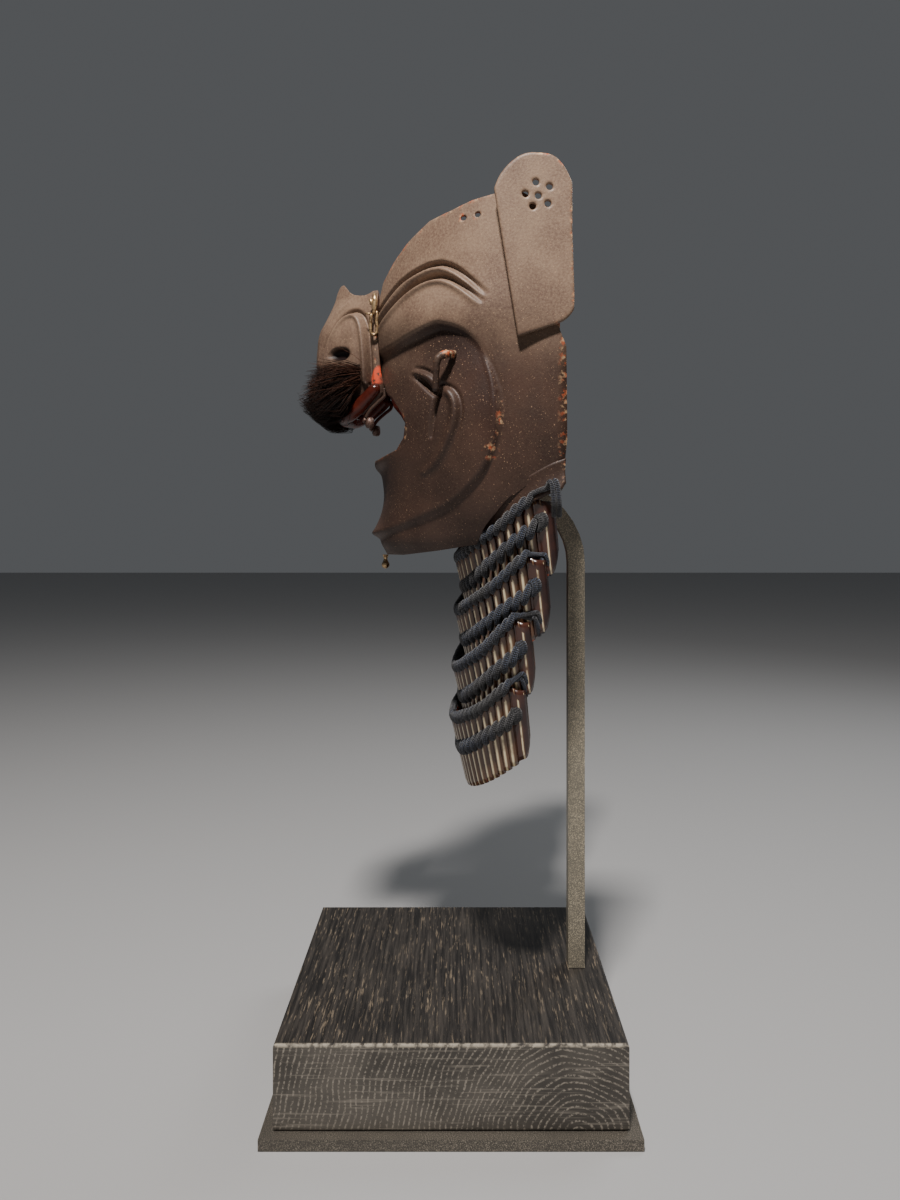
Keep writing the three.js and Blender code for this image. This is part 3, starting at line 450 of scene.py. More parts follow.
def oak_look():
    """Black-stained oak: rings on the ends, grain on the other sides and one pale worn edge."""
    s = Shader("stained_oak")
    fine = s.noise(1.0, 5.0, 0.65, (26.0, 620.0, 620.0))
    fleck = s.ramp(s.noise(1.0, 4.0, 0.65, (90.0, 1100.0, 1100.0)), 0.56, 0.68)
    patch = s.ramp(s.noise(22.0, 3.0), 0.35, 0.65)
    top = s.mix(s.ramp(fine, 0.35, 0.7), rgb(26, 24, 23), finish("oak"))
    fleck = s.math("MULTIPLY", fleck, s.math("ADD", s.math("MULTIPLY", patch, 0.45), 0.2))
    top = s.mix(fleck, top, rgb(150, 134, 112))
    pith = s.node("ShaderNodeMapping", {"Vector": s.place, "Location": (0.0, -0.056, -0.004)}).outputs[0]
    parts = s.node("ShaderNodeSeparateXYZ", {0: pith})
    squares = [s.math("POWER", parts.outputs[axis], 2.0) for axis in (1, 2)]
    radius = s.math("SQRT", s.math("ADD", *squares))
    radius = s.math("ADD", radius, s.math("MULTIPLY", s.noise(14.0, 3.0), 0.024))
    ring = s.math("SINE", s.math("MULTIPLY", radius, 2500.0))
    dash = s.ramp(s.noise(900.0, 3.0, 0.7), 0.42, 0.60)
    line = s.math("MULTIPLY", s.ramp(ring, 0.25, 0.95), dash)
    cloud = s.ramp(s.noise(35.0, 4.0), 0.35, 0.65)
    end = s.mix(cloud, rgb(58, 54, 49), rgb(86, 81, 74))
    streak = s.ramp(s.noise(1.0, 3.0, 0.6, (10.0, 22.0, 900.0)), 0.55, 0.68)
    end = s.mix(s.math("MULTIPLY", streak, 0.4), end, rgb(150, 142, 130))
    end = s.mix(s.math("MULTIPLY", line, 0.8), end, rgb(146, 138, 126))
    normal = s.node("ShaderNodeNewGeometry").outputs["Normal"]
    facing = s.math("ABSOLUTE", s.node("ShaderNodeSeparateXYZ", {0: normal}).outputs[0])
    colour = s.mix(s.ramp(facing, 0.6, 0.8), top, end)
    here = s.node("ShaderNodeSeparateXYZ", {0: s.place})
    edge = s.ramp(s.math("ADD", here.outputs[0], here.outputs[2]), 0.1196, 0.1208)
    colour = s.mix(s.math("MULTIPLY", edge, s.ramp(s.noise(300.0, 3.0), 0.35, 0.6)), colour, rgb(176, 166, 148))
    s.bump(fine, 0.35, 0.0003)
    return s.set(Base_Color=colour, Roughness=s.mix(fine, 0.42, 0.62))


LOOKS = {}


def look(name):
    """The named material, made once."""
    if name not in LOOKS:
        makers = {
            "lacquer": lambda: lacquer_look("russet_lacquer"), "nose": nose_look,
            "gloss": gloss_look, "silk": silk_look, "hair": hair_look, "gilt": gilt_look, "oak": oak_look,
            "steel": lambda: steel_look("bronzed_steel", rgb(116, 111, 99), rgb(222, 208, 180)),
            "plate": lambda: steel_look("blackened_steel", rgb(76, 72, 66), rgb(170, 160, 144)),
            "stud": lambda: steel_look("worn_stud", rgb(72, 50, 42), rgb(142, 120, 108)),
        }
        LOOKS[name] = makers[name]()
    return LOOKS[name]


# Meshes


def seat(obj, material, slot, *nodes):
    """Brings a piece made in millimetres to metres, gives it its look and lets it stand for its nodes."""
    obj.data.transform(Matrix.Scale(MM, 4))
    obj.data.materials.clear()
    obj.data.materials.append(look(material))
    obj.data.shade_smooth()
    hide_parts(*nodes)
    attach(obj, "root")


def add_object(name, bm):
    """An object in the scene from a bmesh, which it frees."""
    mesh = bpy.data.meshes.new(name)
    bm.to_mesh(mesh)
    bm.free()
    obj = bpy.data.objects.new(name, mesh)
    bpy.context.scene.collection.objects.link(obj)
    return obj


def settle(obj):
    """Applies an object's modifiers to its mesh."""
    bpy.context.view_layer.update()
    fixed = bpy.data.meshes.new_from_object(obj.evaluated_get(bpy.context.evaluated_depsgraph_get()))
    old = obj.data
    obj.modifiers.clear()
    obj.data = fixed
    bpy.data.meshes.remove(old)


def drop(*objs):
    """Removes objects with their meshes."""
    for obj in objs:
        mesh = obj.data
        bpy.data.objects.remove(obj)
        bpy.data.meshes.remove(mesh)


def cut(obj, tool, kind="DIFFERENCE"):
    """Cuts one object by another, which it uses up."""
    mod = obj.modifiers.new(kind, "BOOLEAN")
    mod.operation = kind
    mod.object = tool
    mod.solver = "EXACT"
    settle(obj)
    drop(tool)


def remesh(obj, size, smooth):
    """Rebuilds a mesh in small even faces and smooths it, which rounds its cut edges."""
    mod = obj.modifiers.new("remesh", "REMESH")
    mod.mode = "VOXEL"
    mod.voxel_size = size
    mod = obj.modifiers.new("smooth", "SMOOTH")
    mod.factor = 0.5
    mod.iterations = smooth
    settle(obj)


def prism(name, points, low, high):
    """A side outline extruded across X."""
    bm = bmesh.new()
    verts = [bm.verts.new((low, y, z)) for y, z in points]
    face = bm.faces.new(verts)
    out = bmesh.ops.extrude_face_region(bm, geom=[face])
    moved = [v for v in out["geom"] if isinstance(v, bmesh.types.BMVert)]
    bmesh.ops.translate(bm, vec=(high - low, 0, 0), verts=moved)
    bmesh.ops.recalc_face_normals(bm, faces=bm.faces)
    return add_object(name, bm)


def grid_from(points):
    """A bmesh grid whose vertices are moved to the given rows of points."""
    rows, columns = points.shape[:2]
    bm = bmesh.new()
    made = bmesh.ops.create_grid(bm, x_segments=columns - 1, y_segments=rows - 1, size=1.0)
    order = sorted(made["verts"], key=lambda v: (round(v.co.y, 6), round(v.co.x, 6)))
    for vert, place in zip(order, points.reshape(-1, 3)):
        vert.co = place
    return bm


def thicken(bm, amount):
    """Gives a sheet its wall."""
    bmesh.ops.recalc_face_normals(bm, faces=bm.faces)
    bmesh.ops.solidify(bm, geom=list(bm.faces), thickness=amount)
    bmesh.ops.recalc_face_normals(bm, faces=bm.faces)


def set_floats(obj, name, values):
    """One number for each vertex, for the materials to read."""
    layer = obj.data.attributes.new(name, "FLOAT", "POINT")
    layer.data.foreach_set("value", np.asarray(values, np.float32))


def points_of(obj):
    """Every vertex's place."""
    co = np.empty(len(obj.data.vertices) * 3)
    obj.data.vertices.foreach_get("co", co)
    return co.reshape(-1, 3)


def normals_of(obj):
    """Every vertex's normal."""
    no = np.empty(len(obj.data.vertices) * 3)
    obj.data.vertices.foreach_get("normal", no)
    return no.reshape(-1, 3)


def tube(bm, line, radius, sides):
    """A round bar along a line of points, with its own radius at each point; its UV runs round and along it."""
    line = [Vector(p) for p in line]
    radii = radius if hasattr(radius, "__len__") else [radius] * len(line)
    uv = bm.loops.layers.uv.verify()
    side = None
    rings, run, runs = [], 0.0, []
    for i, point in enumerate(line):
        along = (line[min(i + 1, len(line) - 1)] - line[max(i - 1, 0)]).normalized()
        if side is None:
            side = Vector((0, 0, 1)) if abs(along.z) < 0.9 else Vector((0, 1, 0))
        side = (side - along * side.dot(along)).normalized()
        other = along.cross(side)
        turn = Matrix((side, other, along)).transposed().to_4x4()
        rings.append(bmesh.ops.create_circle(bm, segments=sides, radius=radii[i], cap_ends=False,
                                             matrix=Matrix.Translation(point) @ turn)["verts"])
        run += (point - line[max(i - 1, 0)]).length
        runs.append(run)
    for i, (low, high) in enumerate(zip(rings[:-1], rings[1:])):
        for k in range(sides):
            face = bm.faces.new((low[k], low[(k + 1) % sides], high[(k + 1) % sides], high[k]))
            for loop, place in zip(face.loops, ((k, i), (k + 1, i), (k + 1, i + 1), (k, i + 1))):
                loop[uv].uv = (place[0] / sides, runs[place[1]])
    bm.faces.new(list(reversed(rings[0])))
    bm.faces.new(rings[-1])


# Face


def spread(count, low, high, zones):
    """Steps from low to high, closer together inside each zone of (from, to, density)."""
    fine = np.linspace(low, high, 4000)
    weight = np.ones(4000)
    for start, end, density in zones:
        weight += (density - 1) * ease(fine, start - 0.04, start + 0.04) * (1 - ease(fine, end - 0.04, end + 0.04))
    total = np.concatenate([[0], np.cumsum((weight[1:] + weight[:-1]) / 2)])
    return np.interp(np.linspace(0, total[-1], count), total, fine)


def fold_lift(signed, along, tall=1.5, deep=2.6):
    """A fold under the eye: a steep groove above its line and a rounded crest below it."""
    groove = (1 - ease(signed, 1.1, 2.2)) * ease(signed, -1.5, 0.3)
    return swell(along, 0.55) * (tall * bump(signed, -1.9, 1.3) - deep * groove)


def face_points(columns, rows, relief=True, grow=0.0):
    """The face as a grid of points, with its folds, panel and lip."""
    turns = spread(columns, -1.0, 1.0, [(-0.80, -0.10, 1.7), (0.10, 0.80, 1.7)])
    ups = spread(rows, -0.045, 1.03, [(0.20, 0.85, 1.6)])
    angle, at = np.meshgrid(turns * math.pi / 2, ups)
    xs, ys = skin(SHELL_ROWS, angle, at, grow)
    z = up(at)
    b = (ys - FRONT) / DEPTH
    raise_bone = 3.2 * bump(at, 0.665, 0.075) * bump(b, 0.30, 0.32)
    xs2, ys2 = skin(SHELL_ROWS, angle, at, grow + 1.0)
    xs, ys = xs + (xs2 - xs) * raise_bone, ys + (ys2 - ys) * raise_bone
    xp, yp = skin(PANEL_ROWS, angle, at, grow)
    line = side_points(PANEL_LINE, 6)
    away, _, _ = line_distance(ys, z, line)
    signed = np.where(inside(ys, z, line), away, -away)
    soft = 2.6 * ease(at, 0.50, 0.60) + 2.4 * (1 - ease(at, 0.22, 0.38))
    share = ease(signed, -0.5 - 0.3 * soft, 0.6 + soft) if relief else ease(signed, -3, 3)
    points = np.stack([xs + (xp - xs) * share, ys + (yp - ys) * share, z], axis=2)
    rows_way, across = np.gradient(points, axis=0), np.gradient(points, axis=1)
    normal = np.cross(across, rows_way)
    normal /= np.linalg.norm(normal, axis=2, keepdims=True) + 1e-9
    y, x = points[:, :, 1], np.abs(points[:, :, 0])
    if not relief:
        lift = np.zeros(y.shape)
        for deep in (CHEEK_GROOVE, LENS_LOWER, LENS_UPPER, EYE_UPPER, EYE_LOWER):
            d, _, _ = line_distance(y, z, side_points(deep, 3))
            lift = np.minimum(lift, -3.6 * (1 - ease(d, 2.5, 7.0)))
        return points + normal * lift[:, :, None]
    crisp = ease(y, -5, 20) * (1 - ease(at, 0.50, 0.60)) * ease(at, 0.16, 0.26)
    lift = -0.3 * crisp * bump(signed, -0.7, 0.5) + 0.4 * crisp * bump(signed, 1.2, 0.9)
    for eye in (EYE_UPPER, EYE_LOWER):
        _, t, side = line_distance(y, z, side_points(eye, 6))
        lift += fold_lift(side, t)
    d, t, side = line_distance(y, z, side_points(CHEEK_FOLD, 6))
    lift += 2.2 * (1 - 0.70 * ease(t, 0.45, 1.0)) * ease(t, 0.0, 0.10) * bump(d, 0, 1.9)
    lift -= 1.5 * (1 - ease(t, 0.25, 0.75)) * bump(side, 2.6, 0.8)
    d, t, _ = line_distance(y, z, side_points(CHEEK_GROOVE, 6))
    lift -= 4.0 * (1 - 0.7 * t) * (1 - ease(d, 0.3, 2.1 - 0.9 * t))
    d, t, _ = line_distance(y, z, side_points(LENS_UPPER, 6))
    lift -= 1.5 * swell(t, 0.5) * bump(d, 0, 0.8)
    d, t, _ = line_distance(y, z, side_points(LENS_LOWER, 6))
    lift -= 3.0 * ease(t, 0.0, 0.5) * (1 - ease(d, 0.2, 1.9))
    d, t, _ = line_distance(y, z, side_points(LENS_UPPER, 6) - (0.6, 2.2))
    lift += 1.5 * swell(t, 0.5) * bump(d, 0, 1.6)
    lip = smooth_line([(a * HALF, back(b2), up(u2)) for a, b2, u2 in LIP_LINE], 8)
    d = np.full(y.shape, 1e9)
    for px, py, pz in lip:
        d = np.minimum(d, np.sqrt((x - px) ** 2 + (y - py) ** 2 + (z - pz) ** 2))
    lift += 2.6 * bump(d, 0, 3.2)
    return points + normal * lift[:, :, None]


def solid_from(name, points, seat_y):
    """A closed solid between a grid of points and a flat back."""
    bm = grid_from(points)
    out = bmesh.ops.extrude_edge_only(bm, edges=[e for e in bm.edges if e.is_boundary])
    for vert in out["geom"]:
        if isinstance(vert, bmesh.types.BMVert):
            vert.co.y = seat_y
    bmesh.ops.holes_fill(bm, edges=[e for e in bm.edges if e.is_boundary], sides=0)
    bmesh.ops.triangulate(bm, faces=[f for f in bm.faces if len(f.verts) > 4])
    bmesh.ops.recalc_face_normals(bm, faces=bm.faces)
    return add_object(name, bm)


def drill_across(obj, b, u, radius):
    """A round hole through both sides of the face."""
    bm = bmesh.new()
    bmesh.ops.create_cone(bm, cap_ends=True, segments=20, radius1=radius, radius2=radius, depth=4 * HALF,
                          matrix=Matrix.Translation((0, back(b), up(u))) @ Matrix.Rotation(math.pi / 2, 4, "Y"))
    cut(obj, add_object("drill", bm))


class FaceSettings(bpy.types.PropertyGroup):
    """Mesh steps and wall of the face"""

    columns: bpy.props.IntProperty(name="Columns", description="Steps round the face", default=300, min=40,
                                   subtype="UNSIGNED")
    rows: bpy.props.IntProperty(name="Rows", description="Steps from chin to cheek top", default=225, min=30,
                                subtype="UNSIGNED")
    wall: bpy.props.FloatProperty(name="Wall", description="Thickness of the iron",
                                  default=0.0022, unit="LENGTH", subtype="DISTANCE")


class FACEGUARD_OT_face(bpy.types.Operator):
    """Builds the lacquered face with its folds, cheek panel, chin and lower lip"""

    bl_idname = "faceguard.face"
    bl_label = "Face Shell"

    def execute(self, context):
        s = context.scene.faceguard_face
        outer = face_points(s.columns, s.rows)
        # The side edges run on behind the outline, which trims them
        outer[:, (0, -1), 1] = 60.0
        shell = solid_from("face_shell_skin", outer, 75.0)
        room = face_points(90, 60, False, -s.wall / MM)
        room[:, (0, -1), 1] = 62.0
        # The wall is a little thicker in front, behind the lip and chin
        room[:, :, 1] += np.where(np.abs(room[:, :, 0]) < 30, 0.8, 0.0)
        hollow = solid_from("face_room", room, 80.0)
        floor_line = [(-0.30, 0.020), (0.197, 0.018), (0.387, 0.033), (0.577, 0.052), (0.60, -0.2), (2.0, -0.2),
                      (2.0, 2.0), (-0.30, 2.0)]
        cut(hollow, prism("above_floor", side_points(floor_line), -200, 200), "INTERSECT")
        cut(shell, hollow)
        cut(shell, prism("face_outline", side_points(SHELL_OUTLINE), -200, 200), "INTERSECT")
        for b, u in CORD_HOLES:
            drill_across(shell, b, u, 1.35)
        co, no = points_of(shell), normals_of(shell)
        middle = np.column_stack([np.zeros(len(co)), np.full(len(co), 40.0), np.clip(co[:, 2], 285, 400)])
        out_way = co - middle
        out_way /= np.linalg.norm(out_way, axis=1, keepdims=True)
        set_floats(shell, "inner", ease(-(no * out_way).sum(1), -0.15, 0.25))
        y, z = co[:, 1], co[:, 2]
        line = side_points(PANEL_LINE, 6)
        away, _, _ = line_distance(y, z, line)
        within = ease(np.where(inside(y, z, line), away, -away), -0.4, 0.5)
        # The cheek panel's darker lacquer, with painted shade that deepens towards its upper rear under the
        # cheekbone
        set_floats(shell, "panel", within * (0.72 + 0.28 * ease(y + 0.45 * (z - 300), -10, 30)))
        d, _, _ = line_distance(y, z, side_points(SHELL_OUTLINE + SHELL_OUTLINE[:1]))
        top_and_lip = 0.55 * ease(z, 380, 400) + 0.9 * (y < 0) * bump(z, 313, 8)
        worn = 0.75 * (1 - ease(d, 0.3, 1.6)) * np.maximum(ease(y, 35, 50), top_and_lip)
        for b, u in CORD_HOLES:
            worn = np.maximum(worn, 1 - ease(np.hypot(y - back(b), z - up(u)), 1.5, 2.6))
        d, _, _ = line_distance(y, z, side_points(PANEL_RIM, 6))
        worn = np.maximum(worn, 0.8 * (1 - ease(d, 0.4, 1.1)))
        for cy, cz, size in CHIPS:
            worn = np.maximum(worn, 0.95 * (1 - ease(np.hypot(y - cy, z - cz), 0.4 * size, size)))
        set_floats(shell, "wear", worn)
        seat(shell, "lacquer", "lacquer", "face_shell")
        return {"FINISHED"}


# Ear plates


class EarSettings(bpy.types.PropertyGroup):
    """Sizes of the ear plates"""

    thick: bpy.props.FloatProperty(name="Thickness", description="Plate thickness",
                                   default=0.0026, unit="LENGTH", subtype="DISTANCE")
    hole: bpy.props.FloatProperty(name="Hole", description="Hole diameter",
                                  default=0.0031, unit="LENGTH", subtype="DISTANCE")


class FACEGUARD_OT_ears(bpy.types.Operator):
    """Builds the rounded ear plates with their pierced holes"""

    bl_idname = "faceguard.ears"
    bl_label = "Ear Plates"

    def execute(self, context):
        s = context.scene.faceguard_ears
        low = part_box("ear_plate_left")[0].x / MM
        high = low + s.thick / MM
        radius = s.hole / MM / 2
        outline = np.vstack([side_points(EAR_OUTLINE[:8], 5), side_points(EAR_OUTLINE[8:13], 4),
                             side_points(EAR_OUTLINE[13:])])
        for side, name in ((1, "left"), (-1, "right")):
            plate = prism("ear_plate_%s_skin" % name, outline, low, high)
            bm = bmesh.new()
            bm.from_mesh(plate.data)
            rim = [e for e in bm.edges if all(abs(v.co.x - high) < 1e-3 for v in e.verts)]
            bmesh.ops.bevel(bm, geom=rim, offset=0.9, segments=3, profile=0.5, affect="EDGES", material=-1)
            bm.to_mesh(plate.data)
            bm.free()
            for b, u in EAR_HOLES:
                bm = bmesh.new()
                place = Matrix.Translation((low, back(b), up(u))) @ Matrix.Rotation(math.pi / 2, 4, "Y")
                bmesh.ops.create_cone(bm, cap_ends=True, segments=20, radius1=radius, radius2=radius, depth=20,
                                      matrix=place)
                cut(plate, add_object("ear_hole", bm))
            remesh(plate, 0.6, 2)
            co, no = points_of(plate), normals_of(plate)
            set_floats(plate, "inner", ease(-no[:, 0], 0.4, 0.8))
            d, _, _ = line_distance(co[:, 1], co[:, 2], np.vstack([outline, outline[:1]]))
            rear_and_top = np.maximum(ease(co[:, 1], 44, 52), ease(co[:, 2], 428, 433))
            set_floats(plate, "wear", (1 - ease(d, 0.3, 1.7)) * rear_and_top)
            if side < 0:
                plate.data.transform(Matrix.Scale(-1, 4, (1, 0, 0)))
                plate.data.flip_normals()
            seat(plate, "lacquer", "lacquer", "ear_plate_" + name)
        return {"FINISHED"}


# Throat guard


def lame_point(row, angle, grow, drop):
    """A place on a throat plate: angle round it, grow off its face, drop in shares of its height."""
    width, front_back, end_back, front_up, end_up = row
    lean = LAME_LEAN * drop
    x = (width * HALF - lean + grow) * math.sin(angle)
    reach = (end_back - front_back) * DEPTH
    y = back(end_back) + LAME_SHIFT * drop - (reach - lean + LAME_SHIFT * drop + grow) * math.cos(angle)
    level = front_up + (end_up - front_up) * max(1 - math.cos(angle), 0.0) ** 0.9
    return Vector((x, y, up(level) - drop * LAME_HEIGHT))


class LameSettings(bpy.types.PropertyGroup):
    """Ribs of the throat plates"""

    steps: bpy.props.IntProperty(name="Steps", description="Mesh steps across a rib", default=10, min=4,
                                 subtype="UNSIGNED")
    rib: bpy.props.FloatProperty(name="Rib", description="Height of a rib",
                                 default=0.0015, unit="LENGTH", subtype="DISTANCE")
    ridge: bpy.props.FloatProperty(name="Ridge", description="Height of the end plate's ridge", default=0.0019,
                                   unit="LENGTH", subtype="DISTANCE")


def edge_drop(angle):
    """Where an edge row lies: above its plate's top, so less than zero, in shares of the plate's height."""
    return -(2.2 + 3.0 * float(ease(abs(angle), 0.95, 1.38))) / LAME_HEIGHT


def rope_drop(number, angle):
    """Where a rope row lies below its plate's top, in shares of the plate's height; it climbs at its ends."""
    climb = 5.0 if number == 1 else 2.0
    return (12.6 - climb * float(ease(abs(angle), 0.5, 1.38))) / LAME_HEIGHT


class FACEGUARD_OT_lames(bpy.types.Operator):
    """Builds the ribbed lacquered throat plates with their smooth end plates"""

    bl_idname = "faceguard.lames"
    bl_label = "Throat Plates"

    def execute(self, context):
        s = context.scene.faceguard_lames
        rib_height, ridge_height = s.rib / MM, s.ridge / MM
        turns, lifts, ends = [], [], []
        for i in range(END_STEPS):
            turns.append(-1 + (1 - RIB_SPAN) * i / END_STEPS)
            ends.append(1 - i / END_STEPS)
        for i in range(RIBS * s.steps + 1):
            turns.append(-RIB_SPAN + 2 * RIB_SPAN * i / (RIBS * s.steps))
            ends.append(0.0)
        for i in range(1, END_STEPS + 1):
            turns.append(RIB_SPAN + (1 - RIB_SPAN) * i / END_STEPS)
            ends.append(i / END_STEPS)
        for turn, end in zip(turns, ends):
            place = ((turn + RIB_SPAN) / (2 * RIB_SPAN) * RIBS) % 1.0
            rib = rib_height * max(0.0, math.sin(math.pi * min(max((place - 0.16) / 0.68, 0), 1))) ** 0.9
            ridge = ridge_height * max(0.0, 1 - abs(end - 0.58) / 0.42) ** 0.8 - 2.2 * ease(end, 0.80, 1.0)
            lifts.append(ridge if end > 0 else rib)
        drops = np.linspace(0, 1, 16)
        for number, row in enumerate(LAMES, 1):
            points = np.zeros((len(drops), len(turns), 3))
            for r, drop in enumerate(drops):
                for c, (turn, lift, end) in enumerate(zip(turns, lifts, ends)):
                    corner = ease(end, 0.45, 1.0)
                    low = 1.0 - 0.24 * corner**2
                    high = 0.06 * corner**2 + 0.8 * edge_drop(turn * LAME_SWEEP) * (1 - ease(end, 0.1, 0.7))
                    edge = 0.35 * min(1.0, drop * 13 + 0.2, (1 - drop) * 13 + 0.2) + 0.65
                    points[r, c] = lame_point(row, turn * LAME_SWEEP, lift * edge, high + (low - high) * drop)
            bm = grid_from(points)
            thicken(bm, LAME_THICK)
            lame = add_object("throat_lame_%d_skin" % number, bm)
            co = points_of(lame)
            per = len(drops) * len(turns)
            index = np.arange(len(co)) % per
            column, line = index % len(turns), index // len(turns)
            wear = np.zeros(len(co))
            wear[(line == 0) | (line == len(drops) - 1) | (column < 2) | (column > len(turns) - 3)] = 0.75
            end_at, lift_at = np.array(ends)[column], np.array(lifts)[column]
            set_floats(lame, "wear", wear)
            # Share of the painted highlight: a line along the end plate's ridge, and up each rib to its crest
            crest = np.where(end_at > 0, 1.3 - np.abs(end_at - 0.56) / 0.05, lift_at / rib_height)
            set_floats(lame, "rib", (line > 0) * crest)
            # The end plate's facet that faces the light, for painted light
            set_floats(lame, "painted_lit_facet", np.where(end_at > 0, 0.7 * (1 - ease(end_at, 0.50, 0.60)), 0.0))
            seat(lame, "gloss", "gloss_lacquer", "throat_lame_%d" % number)
        return {"FINISHED"}


class LacingSettings(bpy.types.PropertyGroup):
    """Thickness of the cords"""

    strand: bpy.props.FloatProperty(name="Strand", description="Radius of a rope's strand", default=0.00192,
                                    unit="LENGTH", subtype="DISTANCE")
    twist: bpy.props.FloatProperty(name="Twist", description="Radius that the strands wind at", default=0.0027,
                                   unit="LENGTH", subtype="DISTANCE")
    edge: bpy.props.FloatProperty(name="Edge Strand", description="Radius of an edge row's strand",
                                  default=0.00175, unit="LENGTH", subtype="DISTANCE")


def local_axes(row, angle, drop):
    """Along the row, up the plate and away from it, at one place."""
    along = (lame_point(row, angle + 0.02, 0, drop) - lame_point(row, angle - 0.02, 0, drop)).normalized()
    rise = (lame_point(row, angle, 0, drop - 0.1) - lame_point(row, angle, 0, drop + 0.1)).normalized()
    out = along.cross(rise).normalized()
    if out.dot(Vector((math.sin(angle), -math.cos(angle), 0))) < 0:
        out = -out
    return along, rise, out


def winding(bm, row, drop_of, limit, count, turn_radius, strand, stand, chance):
    """A row of strands that wind over a line across the plate, each a little over half way round it."""
    phis = np.linspace(-1.75, 1.75, 11)
    for k in range(count):
        middle = (-1 + 2 * (k + 0.5) / count) * limit
        width = (lame_point(row, middle + 0.02, 0, 0.2) - lame_point(row, middle - 0.02, 0, 0.2)).length / 0.04
        line = []
        size = 1 + chance.uniform(-0.05, 0.05)
        flip = -1.0 if middle < 0 else 1.0
        for phi in phis:
            shift = (phi / 1.57) * STRAND_LEAN * flip + chance.uniform(-0.12, 0.12)
            angle = min(max(middle + shift / width, -limit - 0.03), limit + 0.03)
            _, rise, out = local_axes(row, angle, drop_of(angle))
            near = 0.35 + 0.65 * float(ease(abs(angle), 0.05, 0.75))
            place = lame_point(row, angle, RIB_HEIGHT, drop_of(angle))
            place += rise * (turn_radius * size * math.sin(phi))
            place += out * near * (stand + turn_radius * math.cos(phi))
            line.append(place)
        tube(bm, line, [strand * size * (0.72 + 0.28 * math.cos(phi * 0.8)) for phi in phis], 9)


class FACEGUARD_OT_lacing(bpy.types.Operator):
    """Builds the braided cords: the edge rows, the rope rows and the pairs at the ends"""

    bl_idname = "faceguard.lacing"
    bl_label = "Lacing"

    def execute(self, context):
        s = context.scene.faceguard_lacing
        chance = random.Random(7)
        span = RIB_SPAN * LAME_SWEEP
        for number, row in enumerate(LAMES, 1):
            drop_of = partial(rope_drop, number)
            bm = bmesh.new()
            winding(bm, row, drop_of, span + 0.02, RIBS, s.twist / MM, s.strand / MM, 1.0, chance)
            for side in (-1, 1):
                for lane in (0, 1):
                    line = []
                    for phi in np.linspace(-2.2, 2.2, 11):
                        angle = side * (span + 0.035 + 0.045 * lane + 0.03 * math.cos(phi))
                        _, rise, out = local_axes(row, angle, drop_of(angle))
                        climb = (3.1 - 0.5 * lane) * math.sin(phi) + 0.8
                        line.append(lame_point(row, angle, 1.2, drop_of(angle)) + rise * climb
                                    + out * (0.3 + 2.2 * math.cos(phi * 0.7)))
                    tube(bm, line, 1.35, 9)
            seat(add_object("lace_rope_%d_skin" % number, bm), "silk", "silk", "lace_rope_%d" % number)
            bm = bmesh.new()
            winding(bm, row, edge_drop, span + 0.01, RIBS + 7, 1.9, s.edge / MM, 0.8, chance)
            above = LAMES[number - 2] if number > 1 else None
            for side in (-1, 1):
                for lane in (0, 1):
                    start = lame_point(row, side * (span - 0.06), 2.2, edge_drop(span) + 0.05 * lane)
                    if above:
                        turn = span - 0.010 + 0.050 * lane
                        lift = edge_drop(span) - 0.05 + 0.04 * lane
                        line = [start, lame_point(row, side * (span + 0.02), 2.4, lift),
                                lame_point(above, side * (turn - 0.02), 2.6, 0.66 + 0.03 * (1 - lane)),
                                lame_point(above, side * (turn + 0.03), 2.9, 0.70 + 0.02 * (1 - lane)),
                                lame_point(above, side * (turn + 0.055), 2.6, 0.80),
                                lame_point(above, side * (turn + 0.07), 2.0, 0.92),
                                lame_point(above, side * (turn + 0.065), 0.9, 1.02)]
                    else:
                        x, y = side * HALF, 44.6 + 2.3 * lane
                        line = [start, lame_point(row, side * (span + 0.03), 3.4, edge_drop(span) - 0.04),
                                Vector((x * 0.985, 41.8 + 1.2 * lane, 287.0)),
                                Vector((x * 1.016, y - 1.2, 289.6 + 0.5 * lane)),
                                Vector((x * 1.020, y, 287.6)), Vector((x * 0.998, y + 0.8, 281.0)),
                                Vector((x * 0.970, y + 1.2, 277.5)), Vector((x * 0.940, y + 1.4, 274.5))]
                    tube(bm, smooth_line([tuple(p) for p in line], 5), 1.15, 9)
            seat(add_object("lace_edge_%d_skin" % number, bm), "silk", "silk", "lace_edge_%d" % number)
        return {"FINISHED"}


class CollarSettings(bpy.types.PropertyGroup):
    """Size of the strip under the jaw"""

    thick: bpy.props.FloatProperty(name="Thickness", description="Strip thickness",
                                   default=0.0016, unit="LENGTH", subtype="DISTANCE")


